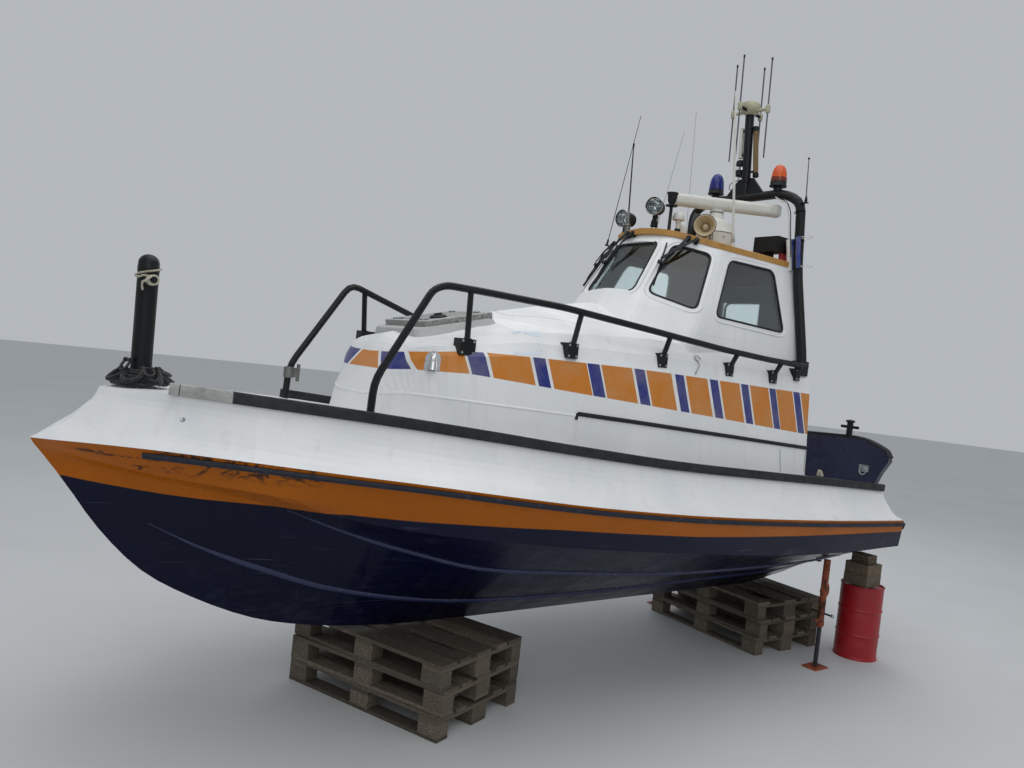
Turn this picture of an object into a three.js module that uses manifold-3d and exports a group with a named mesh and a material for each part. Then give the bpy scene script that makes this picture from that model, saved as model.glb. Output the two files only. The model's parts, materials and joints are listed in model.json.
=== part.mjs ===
// Inshore rescue boat with a small wheelhouse, standing on pallets, props and drums.
// Millimetres, +X towards the bow, +Y to port, +Z up. The keel lies level above the floor.
import * as THREE from "three";
import Module from "manifold-3d";

const wasm = await Module();
wasm.setup();

// Driving dimensions
const GAP = 0.3; // play between touching pieces
const TRANSOM_X = -3070;
const WALL = 26; // moulded cabin wall
const AFT_WALL_X = -1975; // outer face of the wheelhouse's aft wall
const SOLE_Z = 1330; // cabin sole
const SEAM_Z = 2482; // joint between the trunk moulding and the wheelhouse moulding
const FORE_SOLE_Z = 1440; // sole of the fore cabin
const COCKPIT_Z = 1250; // cockpit sole
const PALLET = { l: 1200, w: 800, board: 22, block: 78, h: 144 };
const KEEL_Z = 3 * PALLET.h;
const FRONT_STACK = { x: 930, y: 0, yaw: 19.4, n: 3 };
const REAR_STACK = { x: -2500, y: -100, yaw: -3, n: 3 };
const CAMBER = [[0, 0], [150, -7], [300, -28], [420, -56], [560, -98], [800, -180]];
const ROOF_Z = 3208; // underside of the roof on the centreline
const ROOF_T = 42;
const STRIP_DROP = 33; // the rubbing strip runs this far below the knuckle
const EDGE_DROP = 34; // the deck lies this far below the top of the gunwale strip

// Hull rows from the keel up to the knuckle: [x, half breadth, z], stern to stem
const KEEL = [[-3070, 0, 500], [-2500, 0, 432], [-1500, 0, 432], [-600, 0, 432], [240, 0, 432],
  [830, 0, 436], [1250, 0, 456], [1620, 0, 497], [1950, 0, 572], [2300, 0, 722], [2560, 0, 880],
  [2780, 0, 1105], [2960, 0, 1355]];
const LOWER = [[-3070, 260, 672], [-2500, 262, 622], [-1500, 262, 612], [-600, 257, 602],
  [240, 232, 604], [830, 192, 627], [1250, 168, 684], [1620, 145, 764], [1950, 125, 872],
  [2300, 82, 1005], [2600, 42, 1150], [2800, 24, 1265], [2990, 2, 1392]];
const UPPER = [[-3070, 610, 838], [-2500, 620, 800], [-1500, 620, 790], [-600, 620, 815],
  [240, 598, 874], [830, 555, 925], [1250, 505, 1025], [1640, 455, 1140], [1980, 395, 1262],
  [2320, 270, 1335], [2620, 145, 1388], [2860, 62, 1430], [3045, 4, 1462]];
const CHINE = [[-3070, 1030, 990], [-2300, 1045, 985], [-1500, 1045, 1000], [-600, 1030, 1055],
  [240, 975, 1110], [830, 890, 1155], [1290, 790, 1195], [1750, 660, 1262], [2140, 510, 1355],
  [2560, 300, 1410], [2830, 150, 1450], [2970, 70, 1480], [3075, 6, 1500]];
const BAND = [[-3070, 1045, 1115], [-2300, 1070, 1108], [-1500, 1075, 1155], [-600, 1065, 1175],
  [240, 1020, 1205], [830, 950, 1240], [1370, 830, 1290], [1800, 710, 1335], [2190, 550, 1380],
  [2600, 330, 1425], [2860, 170, 1470], [2995, 85, 1500], [3092, 8, 1520]];
const KNUCKLE = [[-3070, 1050, 1208], [-2300, 1085, 1235], [-1500, 1100, 1267], [-420, 1100, 1322],
  [450, 1075, 1388], [1000, 1030, 1442], [1550, 925, 1495], [1900, 820, 1521], [2260, 660, 1544],
  [2640, 420, 1558], [2890, 240, 1559], [3025, 120, 1554], [3110, 10, 1548]];
// Topsides rows from the knuckle up to the gunwale, hollow in section
const FLARE1 = [[-3068, 968, 1240], [-2300, 1008, 1268], [-1500, 1022, 1303], [-420, 1022, 1356],
  [450, 990, 1431], [1000, 940, 1487], [1550, 842, 1536], [1900, 740, 1566], [2250, 590, 1597],
  [2600, 372, 1625], [2812, 215, 1637], [2905, 85, 1640], [2958, 5, 1640]];
const FLARE2 = [[-3064, 890, 1330], [-2300, 930, 1370], [-1500, 942, 1410], [-420, 938, 1468],
  [450, 902, 1532], [1000, 848, 1584], [1550, 758, 1636], [1900, 668, 1676], [2230, 532, 1714],
  [2540, 335, 1738], [2735, 192, 1744], [2822, 80, 1742], [2868, 5, 1738]];
const GUNWALE = [[-3058, 842, 1452], [-2300, 892, 1502], [-1500, 905, 1548], [-420, 896, 1612],
  [450, 866, 1686], [1000, 812, 1738], [1550, 728, 1786], [1900, 642, 1812], [2220, 520, 1832],
  [2500, 350, 1846], [2680, 220, 1850], [2774, 98, 1846], [2836, 6, 1842]];

// Cabin trunk stations: x, then [half breadth, z] of base, ridge, stripe top, shoulder, deck edge, crown
const TRUNK = [
  [-1975, [800, 1380], [782, 1728], [752, 2160], [728, 2262], [655, 2380], [0, 2480]],
  [-1000, [800, 1430], [782, 1800], [750, 2180], [722, 2282], [640, 2400], [0, 2560]],
  [-300, [775, 1480], [758, 1840], [722, 2190], [690, 2292], [600, 2400], [0, 2640]],
  [200, [752, 1520], [736, 1862], [698, 2190], [662, 2286], [560, 2372], [0, 2545]],
  [700, [716, 1570], [700, 1885], [662, 2188], [622, 2272], [510, 2330], [0, 2430]],
  [1100, [668, 1610], [652, 1905], [615, 2152], [575, 2208], [460, 2242], [0, 2302]],
  [1250, [590, 1620], [570, 1910], [530, 2138], [490, 2190], [380, 2216], [0, 2262]],
  [1345, [510, 1630], [485, 1912], [425, 2108], [375, 2160], [300, 2184], [0, 2220]],
  [1410, [435, 1640], [400, 1910], [315, 2050], [265, 2082], [200, 2100], [0, 2118]],
  [1475, [345, 1650], [290, 1870], [220, 1925], [180, 1934], [120, 1940], [0, 1946]],
  [1540, [250, 1660], [200, 1740], [150, 1752], [120, 1756], [80, 1759], [0, 1762]],
];
// Wheelhouse outline at three heights: front, facet corner [x, y], side corner [x, y]
const HOUSE = [
  { z: 2200, front: -60, facet: [-150, 345], side: [-555, 680] },
  { z: 2650, front: -362, facet: [-415, 330], side: [-785, 615] },
  { z: 3320, front: -806, facet: [-845, 250], side: [-1128, 475] },
];

const COLOURS = {
  navy: [0x141a33, 0.35, 0], white: [0xdfe0de, 0.35, 0], black: [0x17181b, 0.6, 0],
  rubber: [0x1b1c20, 0.85, 0], yellow: [0xc98a1e, 0.45, 0], glass: [0x59666b, 0.08, 0.1],
  steel: [0xa9adb0, 0.35, 0.9], wood: [0x6f6454, 0.9, 0], red: [0xa3262a, 0.5, 0.1],
  rust: [0x9a4a30, 0.7, 0.3], grey: [0x8b8f92, 0.6, 0], blue: [0x14247a, 0.2, 0],
  amber: [0xd9641a, 0.2, 0], engine: [0x5b6468, 0.5, 0.4], seat: [0x23262b, 0.7, 0],
};

const boat = new THREE.Group();

// Adds one solid to the boat as a named mesh.
function add(name, solid, colour) {
  const m = solid.getMesh(), g = new THREE.BufferGeometry();
  g.setAttribute("position", new THREE.BufferAttribute(new Float32Array(m.vertProperties), 3));
  g.setIndex(new THREE.BufferAttribute(new Uint32Array(m.triVerts), 1));
  const [color, roughness, metalness] = COLOURS[colour];
  const mesh = new THREE.Mesh(g, new THREE.MeshStandardMaterial({ color, roughness, metalness }));
  mesh.name = name;
  boat.add(mesh);
  return solid;
}

// A solid from points and triangles, with equal points merged and faces turned out.
function solidFrom(points, tris) {
  const index = new Map(), verts = [], map = [];
  for (const p of points) {
    const key = p.map((v) => Math.round(v * 200)).join();
    if (!index.has(key)) {
      index.set(key, verts.length / 3);
      verts.push(...p);
    }
    map.push(index.get(key));
  }
  let list = tris.map((t) => t.map((i) => map[i]));
  list = list.filter(([a, b, c]) => a !== b && b !== c && a !== c);
  const at = (i) => new THREE.Vector3(verts[3 * i], verts[3 * i + 1], verts[3 * i + 2]);
  const volume = list.reduce((s, [a, b, c]) => s + at(a).dot(at(b).cross(at(c))), 0);
  if (volume < 0) list = list.map(([a, b, c]) => [a, c, b]);
  return new wasm.Manifold(new wasm.Mesh({
    numProp: 3, vertProperties: new Float32Array(verts), triVerts: new Uint32Array(list.flat()),
  }));
}

// A solid from any closed three.js geometry.
function solidOf(geometry) {
  const g = geometry.index ? geometry.toNonIndexed() : geometry, a = g.getAttribute("position");
  const points = [], tris = [];
  for (let i = 0; i < a.count; i++) points.push([a.getX(i), a.getY(i), a.getZ(i)]);
  for (let i = 0; i < a.count; i += 3) tris.push([i, i + 1, i + 2]);
  return solidFrom(points, tris);
}

const union = (solids) => solids.reduce((a, b) => a.add(b));

// Skins closed rings of equal length and caps the two ends.
function loft(rings) {
  const n = rings[0].length, points = rings.flat(), tris = [];
  for (let i = 0; i + 1 < rings.length; i++)
    for (let j = 0; j < n; j++) {
      const a = i * n + j, b = i * n + ((j + 1) % n);
      tris.push([a, b, b + n], [a, b + n, a + n]);
    }
  [[0, 1], [rings.length - 1, -1]].forEach(([k, sign]) => {
    const flat = flatten(rings[k]);
    if (Math.abs(THREE.ShapeUtils.area(flat)) < 1) return;
    const ccw = THREE.ShapeUtils.area(flat) > 0;
    const list = ccw ? flat : flat.slice().reverse();
    for (const t of THREE.ShapeUtils.triangulateShape(list, [])) {
      const f = t.map((v) => k * n + (ccw ? v : n - 1 - v));
      const turn = (sign > 0) === ccw;
      tris.push(turn ? [f[0], f[2], f[1]] : f);
    }
  });
  return solidFrom(points, fixCaps(points, tris, n, rings.length));
}

// The plane coordinates of a ring, seen along its own mean normal.
function flatten(ring) {
  const normal = new THREE.Vector3(), p = ring.map((v) => new THREE.Vector3(...v));
  for (let i = 0; i < p.length; i++) normal.add(p[i].clone().cross(p[(i + 1) % p.length]));
  normal.normalize();
  const u = new THREE.Vector3(1, 0, 0);
  if (Math.abs(normal.x) > 0.9) u.set(0, 1, 0);
  u.cross(normal).normalize();
  const w = normal.clone().cross(u);
  return p.map((v) => new THREE.Vector2(v.dot(u), v.dot(w)));
}

// Turns each cap's faces so that its edges run against the skin's.
function fixCaps(points, tris, n, rows) {
  const skin = 2 * n * (rows - 1), edges = new Set();
  for (const [a, b, c] of tris.slice(0, skin)) edges.add(a + "," + b).add(b + "," + c).add(c + "," + a);
  const caps = [[], []];
  for (const t of tris.slice(skin)) caps[t[0] < n ? 0 : 1].push(t);
  return tris.slice(0, skin).concat(...caps.map((cap) => {
    const wrong = cap.some(([a, b, c]) => [[a, b], [b, c], [c, a]].some((e) => edges.has(e.join())));
    return wrong ? cap.map(([a, b, c]) => [a, c, b]) : cap;
  }));
}

// Straight pieces
function box(x0, x1, y0, y1, z0, z1) {
  const g = new THREE.BoxGeometry(x1 - x0, y1 - y0, z1 - z0);
  g.translate((x0 + x1) / 2, (y0 + y1) / 2, (z0 + z1) / 2);
  return solidOf(g);
}
function cone(p, q, r0, r1, sides = 12) {
  const a = new THREE.Vector3(...p), b = new THREE.Vector3(...q), d = b.clone().sub(a);
  const g = new THREE.CylinderGeometry(r1, r0, d.length(), sides);
  g.applyQuaternion(new THREE.Quaternion().setFromUnitVectors(new THREE.Vector3(0, 1, 0), d.normalize()));
  g.translate(...a.add(b).multiplyScalar(0.5).toArray());
  return solidOf(g);
}
const rod = (p, q, r, sides = 12) => cone(p, q, r, r, sides);
function ball(p, r, seg = 12) {
  const g = new THREE.SphereGeometry(r, seg, Math.max(6, Math.round(seg * 0.6)));
  g.translate(...p);
  return solidOf(g);
}
// A turned piece: profile [radius, height] pairs from axis to axis, standing on a point.
function turned(profile, p, sides = 16) {
  const g = new THREE.LatheGeometry(profile.map((v) => new THREE.Vector2(...v)), sides);
  g.rotateX(Math.PI / 2);
  g.translate(...p);
  return solidOf(g);
}

// A round bar through points, its corners rounded with the given radius.
function bar(points, r, { sides = 8, bend = 60, steps = 3 } = {}) {
  const v = points.map((p) => new THREE.Vector3(...p)), path = [v[0]];
  for (let i = 1; i + 1 < v.length; i++) {
    const inn = v[i - 1].clone().sub(v[i]), out = v[i + 1].clone().sub(v[i]);
    const d = Math.min(bend, inn.length() * 0.45, out.length() * 0.45);
    const a = v[i].clone().addScaledVector(inn.normalize(), d);
    const b = v[i].clone().addScaledVector(out.normalize(), d);
    const curve = new THREE.QuadraticBezierCurve3(a, v[i], b);
    path.push(...curve.getPoints(steps));
  }
  path.push(v[v.length - 1]);
  let normal = null;
  const rings = path.map((p, i) => {
    const t = path[Math.min(i + 1, path.length - 1)].clone().sub(path[Math.max(i - 1, 0)]).normalize();
    if (!normal) normal = new THREE.Vector3(0.31, 0.52, 0.79).cross(t).normalize();
    normal.addScaledVector(t, -normal.dot(t)).normalize();
    const other = t.clone().cross(normal);
    return [...Array(sides)].map((_, k) => {
      const a = (2 * Math.PI * k) / sides;
      return p.clone().addScaledVector(normal, r * Math.cos(a)).addScaledVector(other, r * Math.sin(a))
        .toArray();
    });
  });
  return loft(rings);
}

// Samples a row of the hull at evenly spread places between stern and stem.
function sample(row, count) {
  const curve = new THREE.CatmullRomCurve3(row.map((p) => new THREE.Vector3(...p)), false, "centripetal");
  const out = [];
  for (let i = 0; i <= count; i++) {
    out.push(curve.getPoint(i / count).toArray());
  }
  return out;
}

// A plan outline (half, from the front centre to the aft centre) as a closed ring with round corners.
function outline(half, z, r = 45, steps = 3) {
  const ring = half.concat(half.slice(1, -1).reverse().map(([x, y]) => [x, -y]));
  const out = [];
  ring.forEach(([x, y], i) => {
    const p = ring[(i + ring.length - 1) % ring.length], q = ring[(i + 1) % ring.length];
    const v = new THREE.Vector2(x, y);
    const a = new THREE.Vector2(...p).sub(v), b = new THREE.Vector2(...q).sub(v);
    const d = Math.min(r, a.length() * 0.4, b.length() * 0.4);
    const s = v.clone().addScaledVector(a.normalize(), d), e = v.clone().addScaledVector(b.normalize(), d);
    const curve = new THREE.QuadraticBezierCurve(s, v, e);
    for (const c of curve.getPoints(steps)) out.push([c.x, c.y, z]);
  });
  return out;
}

const SAMPLES = 36;
const mirrored = (row) => row.map(([x, y, z]) => [x, -y, z]);

// Skins rows given from the centreline up one side, over the top, as a boat form.
function boatForm(rows) {
  const port = rows.map((r) => sample(r, SAMPLES).map(([x, y, z]) => [x, y, Math.max(z, KEEL_Z)])),
    rings = [];
  for (let i = 0; i <= SAMPLES; i++) {
    const up = port.map((row) => row[i]);
    const down = up.slice().reverse().map(([x, y, z]) => [x, -y, z]);
    rings.push(up.concat(down));
  }
  return loft(rings);
}

// Hull and topsides
const well = union([
  box(-1948, -340, -600, 600, SOLE_Z, 2100),
  box(-360, 1120, -470, 470, FORE_SOLE_Z, 2100),
]);
const cockpit = box(-2985, -1976, -700, 700, COCKPIT_Z, 2100);
const enginePocket = box(-2760, -2110, -285, 285, 800, 1300);
const lift = (row, dz) => row.map(([x, y, z]) => [x, y, z + dz]);
const inset = (row, dy, dz) => row.map(([x, y, z]) =>
  [x - (x > 2600 ? dy * 0.6 : 0), Math.max(y - dy, 2), z + dz]);

// Adds rows between the given ones, so that a section comes out curved.
function curved(rows, steps) {
  const across = rows[0].map((_, i) => new THREE.CatmullRomCurve3(
    rows.map((row) => new THREE.Vector3(...row[i])), false, "catmullrom", 0.5));
  const out = [], count = (rows.length - 1) * steps;
  for (let k = 0; k <= count; k++) out.push(across.map((c) => c.getPoint(k / count).toArray()));
  return out;
}

const hullSolid = boatForm([KEEL, LOWER, UPPER, CHINE, BAND, KNUCKLE]);
add("hull", hullSolid.subtract(enginePocket), "navy");

const DECK_EDGE = lift(GUNWALE, -EDGE_DROP);
const flare = curved([lift(KNUCKLE, GAP), lift(FLARE1, GAP), FLARE2, DECK_EDGE], 3);
const topsidesSolid = boatForm([...flare, inset(DECK_EDGE, 60, 3)]);
add("topsides", topsidesSolid.subtract(well).subtract(cockpit).subtract(enginePocket)
  .subtract(box(-2050, -1900, -275, 275, 1330, 1600)), "white");

// Adds two stations in each gap from the given one forward, so that the nose comes out round.
function faired(stations, first) {
  const rows = stations[0].slice(1).map((_, k) => new THREE.CatmullRomCurve3(
    stations.map((s) => new THREE.Vector3(s[0], ...s[k + 1])), false, "catmullrom", 0.5));
  const out = stations.slice(0, first), last = stations.length - 1;
  for (let i = 3 * first; i <= 3 * last; i++) {
    const at = rows.map((row) => row.getPoint(i / 3 / last));
    out.push([at[0].x, ...at.map((p) => [p.y, p.z])]);
  }
  return out;
}

// Superstructure: trunk and wheelhouse in one moulding, hollow, with its windows cut
function trunkForm(inner) {
  const rings = faired(TRUNK, 4).map(([x, ...pts]) => {
    const t = inner ? WALL : 0;
    const up = pts.map(([y, z], i) => [x, i === 5 ? 0 : Math.max(y - t, 20),
      z - (i > 1 ? t : 0) - (inner && i === 0 ? 30 : 0)]);
    return up.concat(up.slice(0, -1).reverse().map(([px, y, z]) => [px, -y, z]));
  });
  if (inner) {
    rings.forEach((r, i) => r.forEach((p) =>
      (p[0] = i === 0 ? p[0] + WALL : p[0] - WALL * (i / (rings.length - 1)))));
  }
  return loft(rings);
}
function houseForm(inner) {
  const t = inner ? WALL : 0;
  return loft(HOUSE.map(({ z, front, facet, side }) => outline([
    [front - t * 1.1, 0], [facet[0] - t * 1.1, facet[1] - t * 0.45], [side[0] - t * 0.45, side[1] - t],
    [AFT_WALL_X + t, side[1] - t], [AFT_WALL_X + t, 0],
  ], z, inner ? 40 : 60)));
}
// A slab whose cross section follows the roof's camber, from one height to another.
function cambered(z0, z1) {
  const low = CAMBER.map(([y, z]) => [y, z0 + z]), high = CAMBER.map(([y, z]) => [y, z1 + z]);
  const mirror = (list) => list.slice(1).reverse().map(([y, z]) => [-y, z]);
  const section = mirror(low).concat(low, high.slice().reverse(), high.slice(1).map(([y, z]) => [-y, z]));
  return loft([-2400, 200].map((x) => section.map(([y, z]) => [x, y, z])));
}
// A rounded prism through a wall, from four corners on its face; depth counts inwards.
function throughWall(corners, grow, depth0, depth1, r = 55) {
  const v = corners.map((c) => new THREE.Vector3(...c));
  const normal = v[1].clone().sub(v[0]).cross(v[2].clone().sub(v[0])).normalize();
  const centre = v.reduce((a, b) => a.add(b), new THREE.Vector3()).multiplyScalar(0.25);
  const u = v[1].clone().sub(v[0]).normalize(), w = normal.clone().cross(u);
  const flat = v.map((p) => new THREE.Vector2(p.clone().sub(centre).dot(u), p.clone().sub(centre).dot(w)));
  const ring = [];
  flat.forEach((p, i) => {
    const a = flat[(i + 3) % 4].clone().sub(p).normalize(), b = flat[(i + 1) % 4].clone().sub(p).normalize();
    const corner = p.clone().addScaledVector(a, -grow).addScaledVector(b, -grow);
    const curve = new THREE.QuadraticBezierCurve(
      corner.clone().addScaledVector(a, r), corner, corner.clone().addScaledVector(b, r));
    ring.push(...curve.getPoints(4));
  });
  const at = (depth) => ring.map((p) => centre.clone().addScaledVector(u, p.x).addScaledVector(w, p.y)
    .addScaledVector(normal, depth).toArray());
  return loft([at(depth0), at(depth1)]);
}

// Window corners on the wall's outer face: bottom left, bottom right, top right, top left, seen from outside
const houseAt = (z) => {
  const [a, b] = z < HOUSE[1].z ? [HOUSE[0], HOUSE[1]] : [HOUSE[1], HOUSE[2]], k = (z - a.z) / (b.z - a.z);
  const mix = (p, q) => p + (q - p) * k;
  return {
    front: mix(a.front, b.front), facet: [mix(a.facet[0], b.facet[0]), mix(a.facet[1], b.facet[1])],
    side: [mix(a.side[0], b.side[0]), mix(a.side[1], b.side[1])],
  };
};
function facetPoint(z, k) { // k runs from the front facet's corner to the side's corner
  const h = houseAt(z);
  return [h.facet[0] + (h.side[0] - h.facet[0]) * k, h.facet[1] + (h.side[1] - h.facet[1]) * k, z];
}
const frontPoint = (z, y) => {
  const { front, facet } = houseAt(z);
  return [front + (facet[0] - front) * Math.abs(y) / facet[1], y, z];
};
const sidePoint = (x, z) => [x, houseAt(z).side[1], z];
const flip = (c) => [c[1], c[0], c[3], c[2]].map(([x, y, z]) => [x, -y, z]);
const portFacet = [facetPoint(2655, 0.9), facetPoint(2745, 0.1), facetPoint(3118, 0.14),
  facetPoint(3072, 0.86)];
const portSide = [sidePoint(-1730, 2605), sidePoint(-935, 2632), sidePoint(-1125, 3055),
  sidePoint(-1650, 3060)];
const WINDOWS = {
  pane_centre: [frontPoint(2748, 235), frontPoint(2748, -235), frontPoint(3138, -190),
    frontPoint(3138, 190)],
  pane_port: portFacet,
  pane_starboard: flip(portFacet),
  side_window_port: portSide,
  side_window_starboard: flip(portSide),
};
const doorway = box(AFT_WALL_X - 60, AFT_WALL_X + 80, -275, 275, 1330, 2990);
const deckLine = topsidesSolid.translate([0, 0, GAP]);
const roofCut = cambered(ROOF_Z - GAP, 4200);

let shell = trunkForm(false).add(houseForm(false));
shell = shell.subtract(trunkForm(true)).subtract(houseForm(true)).subtract(roofCut).subtract(doorway);
for (const corners of Object.values(WINDOWS)) shell = shell.subtract(throughWall(corners, 0, -90, 60));

// Forward deck hatch, lying along the trunk's slope: its lid is let into the crown behind and stands on a
// moulded plinth in front
const HATCH = { x: 955, z: 2352, tilt: 13.5, l: 470, w: 490, lid: 32, ahead: 85 };
const onSlope = (solid) => solid.rotate([0, HATCH.tilt, 0]).translate([HATCH.x, 0, HATCH.z]);
const hatchBox = (grow, z0, z1) => box(-HATCH.l / 2 - grow, HATCH.l / 2 + grow, -HATCH.w / 2 - grow,
  HATCH.w / 2 + grow, z0, z1);
const hatchHole = box(775, 1140, -200, 200, 2100, 2600).add(onSlope(hatchBox(10, 0, 120)));
shell = shell.subtract(hatchHole).subtract(deckLine).subtract(box(-2500, 2000, -560, 560, 1000, 1720));
const largest = (solid) => solid.decompose().sort((a, b) => b.volume() - a.volume())[0];
const seam = (z0, z1) => box(-2500, 2000, -1000, 1000, z0, z1);
add("trunk", largest(shell.intersect(seam(1200, SEAM_Z))), "white");
add("wheelhouse", largest(shell.intersect(seam(SEAM_Z + GAP, 3400))), "white");

for (const [name, corners] of Object.entries(WINDOWS))
  add(name, throughWall(corners, -GAP, 9, 16), "glass");

const roofPlan = loft([2800, 3600].map((z) => outline([
  [-700, 0], [-740, 268], [-1020, 520], [AFT_WALL_X - 25, 520], [AFT_WALL_X - 25, 0]], z, 70)));
const roof = cambered(ROOF_Z, ROOF_Z + ROOF_T).intersect(roofPlan);
add("roof", roof, "yellow");

// Everything fixed to the outside of the cabin is trimmed clear of it
const cabin = trunkForm(false).add(houseForm(false).subtract(roofCut)).subtract(deckLine);
const cabinGrown = union([[0, GAP, 0], [0, -GAP, 0], [GAP, 0, 0], [-GAP, 0, 0], [0, 0, GAP]].map((t) =>
  cabin.translate(t)));
const roofGrown = roof.translate([0, 0, GAP]).add(roof);
const underRoof = cambered(2400, ROOF_Z + ROOF_T + GAP);
const sides = [["port", 1], ["starboard", -1]];

// Rubbing strips along the knuckle and the gunwale
function strip(row, wide, tall, from, to, dz = 0, root = 0.6) {
  const pts = sample(row, 56).filter((p) => p[0] >= from && p[0] <= to);
  return (s) => loft(pts.map(([x, y, z], i) => {
    const q = pts[Math.min(i + 1, pts.length - 1)], p = pts[Math.max(i - 1, 0)];
    const n = new THREE.Vector2(-(q[1] - p[1]), q[0] - p[0]).normalize();
    return [[root, -tall], [wide * 0.8, -tall * 0.8], [wide, 0], [wide * 0.8, tall * 0.8], [root, tall]]
      .map(([o, h]) => [x + n.x * o, (y + n.y * o) * s, z + dz + h]);
  }));
}
const belowKnuckle = KNUCKLE.map((p, i) =>
  p.map((v, k) => v + (BAND[i][k] - v) * STRIP_DROP / (p[2] - BAND[i][2])));
const knuckleStrip = strip(belowKnuckle, 20, 17, -3075, 2705, 0, -40);
const gunwaleStrip = {
  port: strip(GUNWALE, 22, 21, -3060, 2560, -16),
  starboard: strip(GUNWALE, 22, 21, -3060, 1640, -16),
};
const hullTop = hullSolid.add(topsidesSolid);
const hullGrown = union([[0, GAP, 0], [0, -GAP, 0], [0, 0, 0], [0, 0, -GAP]].map((t) =>
  hullTop.translate(t)));
for (const [side, s] of sides) {
  add("knuckle_strip_" + side, largest(knuckleStrip(s).subtract(hullGrown)), "rubber");
  add("gunwale_strip_" + side, largest(gunwaleStrip[side](s).subtract(hullGrown)
    .subtract(box(-3100, -3036, -1200, 1200, 1300, 1700))), "rubber");
}

// Hand rails beside the trunk
const RAIL_R = 21;
const RAILS = {
  port: {
    path: [[1668, 582, 1700], [1658, 578, 1972], [1335, 527, 2492], [1255, 525, 2528], [1010, 540, 2526],
      [460, 600, 2510], [-230, 705, 2448], [-880, 752, 2396], [-1380, 768, 2372], [-1880, 760, 2364]],
    posts: [[1120, 592, 2206, 1090, 530, 2527, 50], [425, 678, 2258, 322, 618, 2494, 42],
      [-340, 702, 2270, -385, 715, 2430, 40], [-1000, 728, 2268, -1050, 756, 2388, 38],
      [-1500, 738, 2256, -1560, 765, 2367, 38], [-1800, 735, 2296, -1802, 761, 2364, 28]],
  },
  starboard: { // drops behind its knee and runs on low
    path: [[1668, 582, 1700], [1658, 578, 1972], [1310, 552, 2538], [690, 620, 2362], [460, 655, 2350],
      [-230, 722, 2354], [-880, 752, 2360], [-1380, 768, 2366], [-1880, 760, 2364]],
    posts: [[1165, 578, 2204, 1200, 563, 2500, 50], [425, 678, 2258, 400, 660, 2346, 42],
      [-340, 702, 2270, -352, 727, 2350, 40], [-1000, 728, 2268, -1030, 756, 2358, 38],
      [-1500, 738, 2256, -1530, 767, 2364, 38], [-1800, 735, 2296, -1802, 761, 2364, 28]],
  },
};
for (const [side, s] of sides) {
  let rail = bar(RAILS[side].path, RAIL_R, { bend: 70 });
  for (const [x, y, z, x2, y2, z2, w] of RAILS[side].posts) {
    rail = rail.add(bar([[x, y, z - 5], [x2, y2, z2]], 17, { sides: 8 }))
      .add(box(x - w, x + w, y - 60, y + 16, z - 50, z + 42));
  }
  if (s < 0) rail = rail.mirror([0, 1, 0]);
  add("rail_" + side, largest(rail.subtract(cabinGrown).subtract(deckLine)), "black");
}

// Arch over the wheelhouse's aft end, with the mast on it
const ARCH_X = -1905, ARCH_R = 37;
const archHalf = [[ARCH_X, 697, 2390], [ARCH_X, 684, 2480], [ARCH_X, 566, 3100], [ARCH_X + 20, 540, 3640],
  [ARCH_X + 25, 380, 3722]];
let arch = bar(archHalf.concat(archHalf.slice().reverse().map(([x, y, z]) => [x, -y, z])), ARCH_R,
  { bend: 110, sides: 12 });
const MAST_FOOT = [ARCH_X + 25, 0, 3722], MAST_TOP = [ARCH_X + 85, 0, 4400];
arch = arch.add(rod(MAST_FOOT, MAST_TOP, 31));
const gusset = loft([-12, 12].map((dx) => [[-190, 3740], [190, 3740], [70, 3880], [-70, 3880]]
  .map(([y, z]) => [ARCH_X + 30 + dx, y, z])));
arch = arch.add(gusset);
for (const s of [1, -1]) {
  arch = arch.add(box(ARCH_X - 52, ARCH_X + 52, s > 0 ? 620 : -728, s > 0 ? 728 : -620, 2290, 2402));
}
add("arch", largest(arch.subtract(cabinGrown).subtract(roofGrown)), "black");

// Direction finding aerial: two crossed arms with four upright dipoles
const DF = { x: MAST_TOP[0], z: 4403, arm: 200, up: 450, down: 420 };
let aerial = rod([DF.x, 0, DF.z], [DF.x, 0, DF.z + 60], 34)
  .add(turned([[0, 55], [95, 60], [95, 75], [0, 85]], [DF.x, 0, DF.z]));
aerial = aerial.add(rod([DF.x - DF.arm, 0, DF.z + 25], [DF.x + DF.arm, 0, DF.z + 25], 13, 8));
aerial = aerial.add(rod([DF.x, -DF.arm, DF.z + 25], [DF.x, DF.arm, DF.z + 25], 13, 8));
for (const [dx, dy] of [[1, 0], [-1, 0], [0, 1], [0, -1]]) {
  const p = [DF.x + dx * DF.arm, dy * DF.arm];
  aerial = aerial.add(rod([...p, DF.z - DF.down], [...p, DF.z + DF.up], 7, 6))
    .add(rod([...p, DF.z - 10], [...p, DF.z + 60], 15, 8));
}
add("df_aerial", aerial, "black");

// Warning beacons on the arch
for (const [side, s] of sides) {
  const seat = rod([ARCH_X + 25, 312 * s, 3720], [ARCH_X + 25, 312 * s, 3782], 34);
  const dome = turned([[0, 0], [62, 0], [62, 30], [55, 34], [55, 120], [40, 150], [0, 162]],
    [ARCH_X + 25, 312 * s, 3780]);
  add("beacon_" + side, largest(seat.add(dome).subtract(arch.translate([0, 0, GAP])).subtract(arch)),
    s > 0 ? "amber" : "blue");
}

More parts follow.
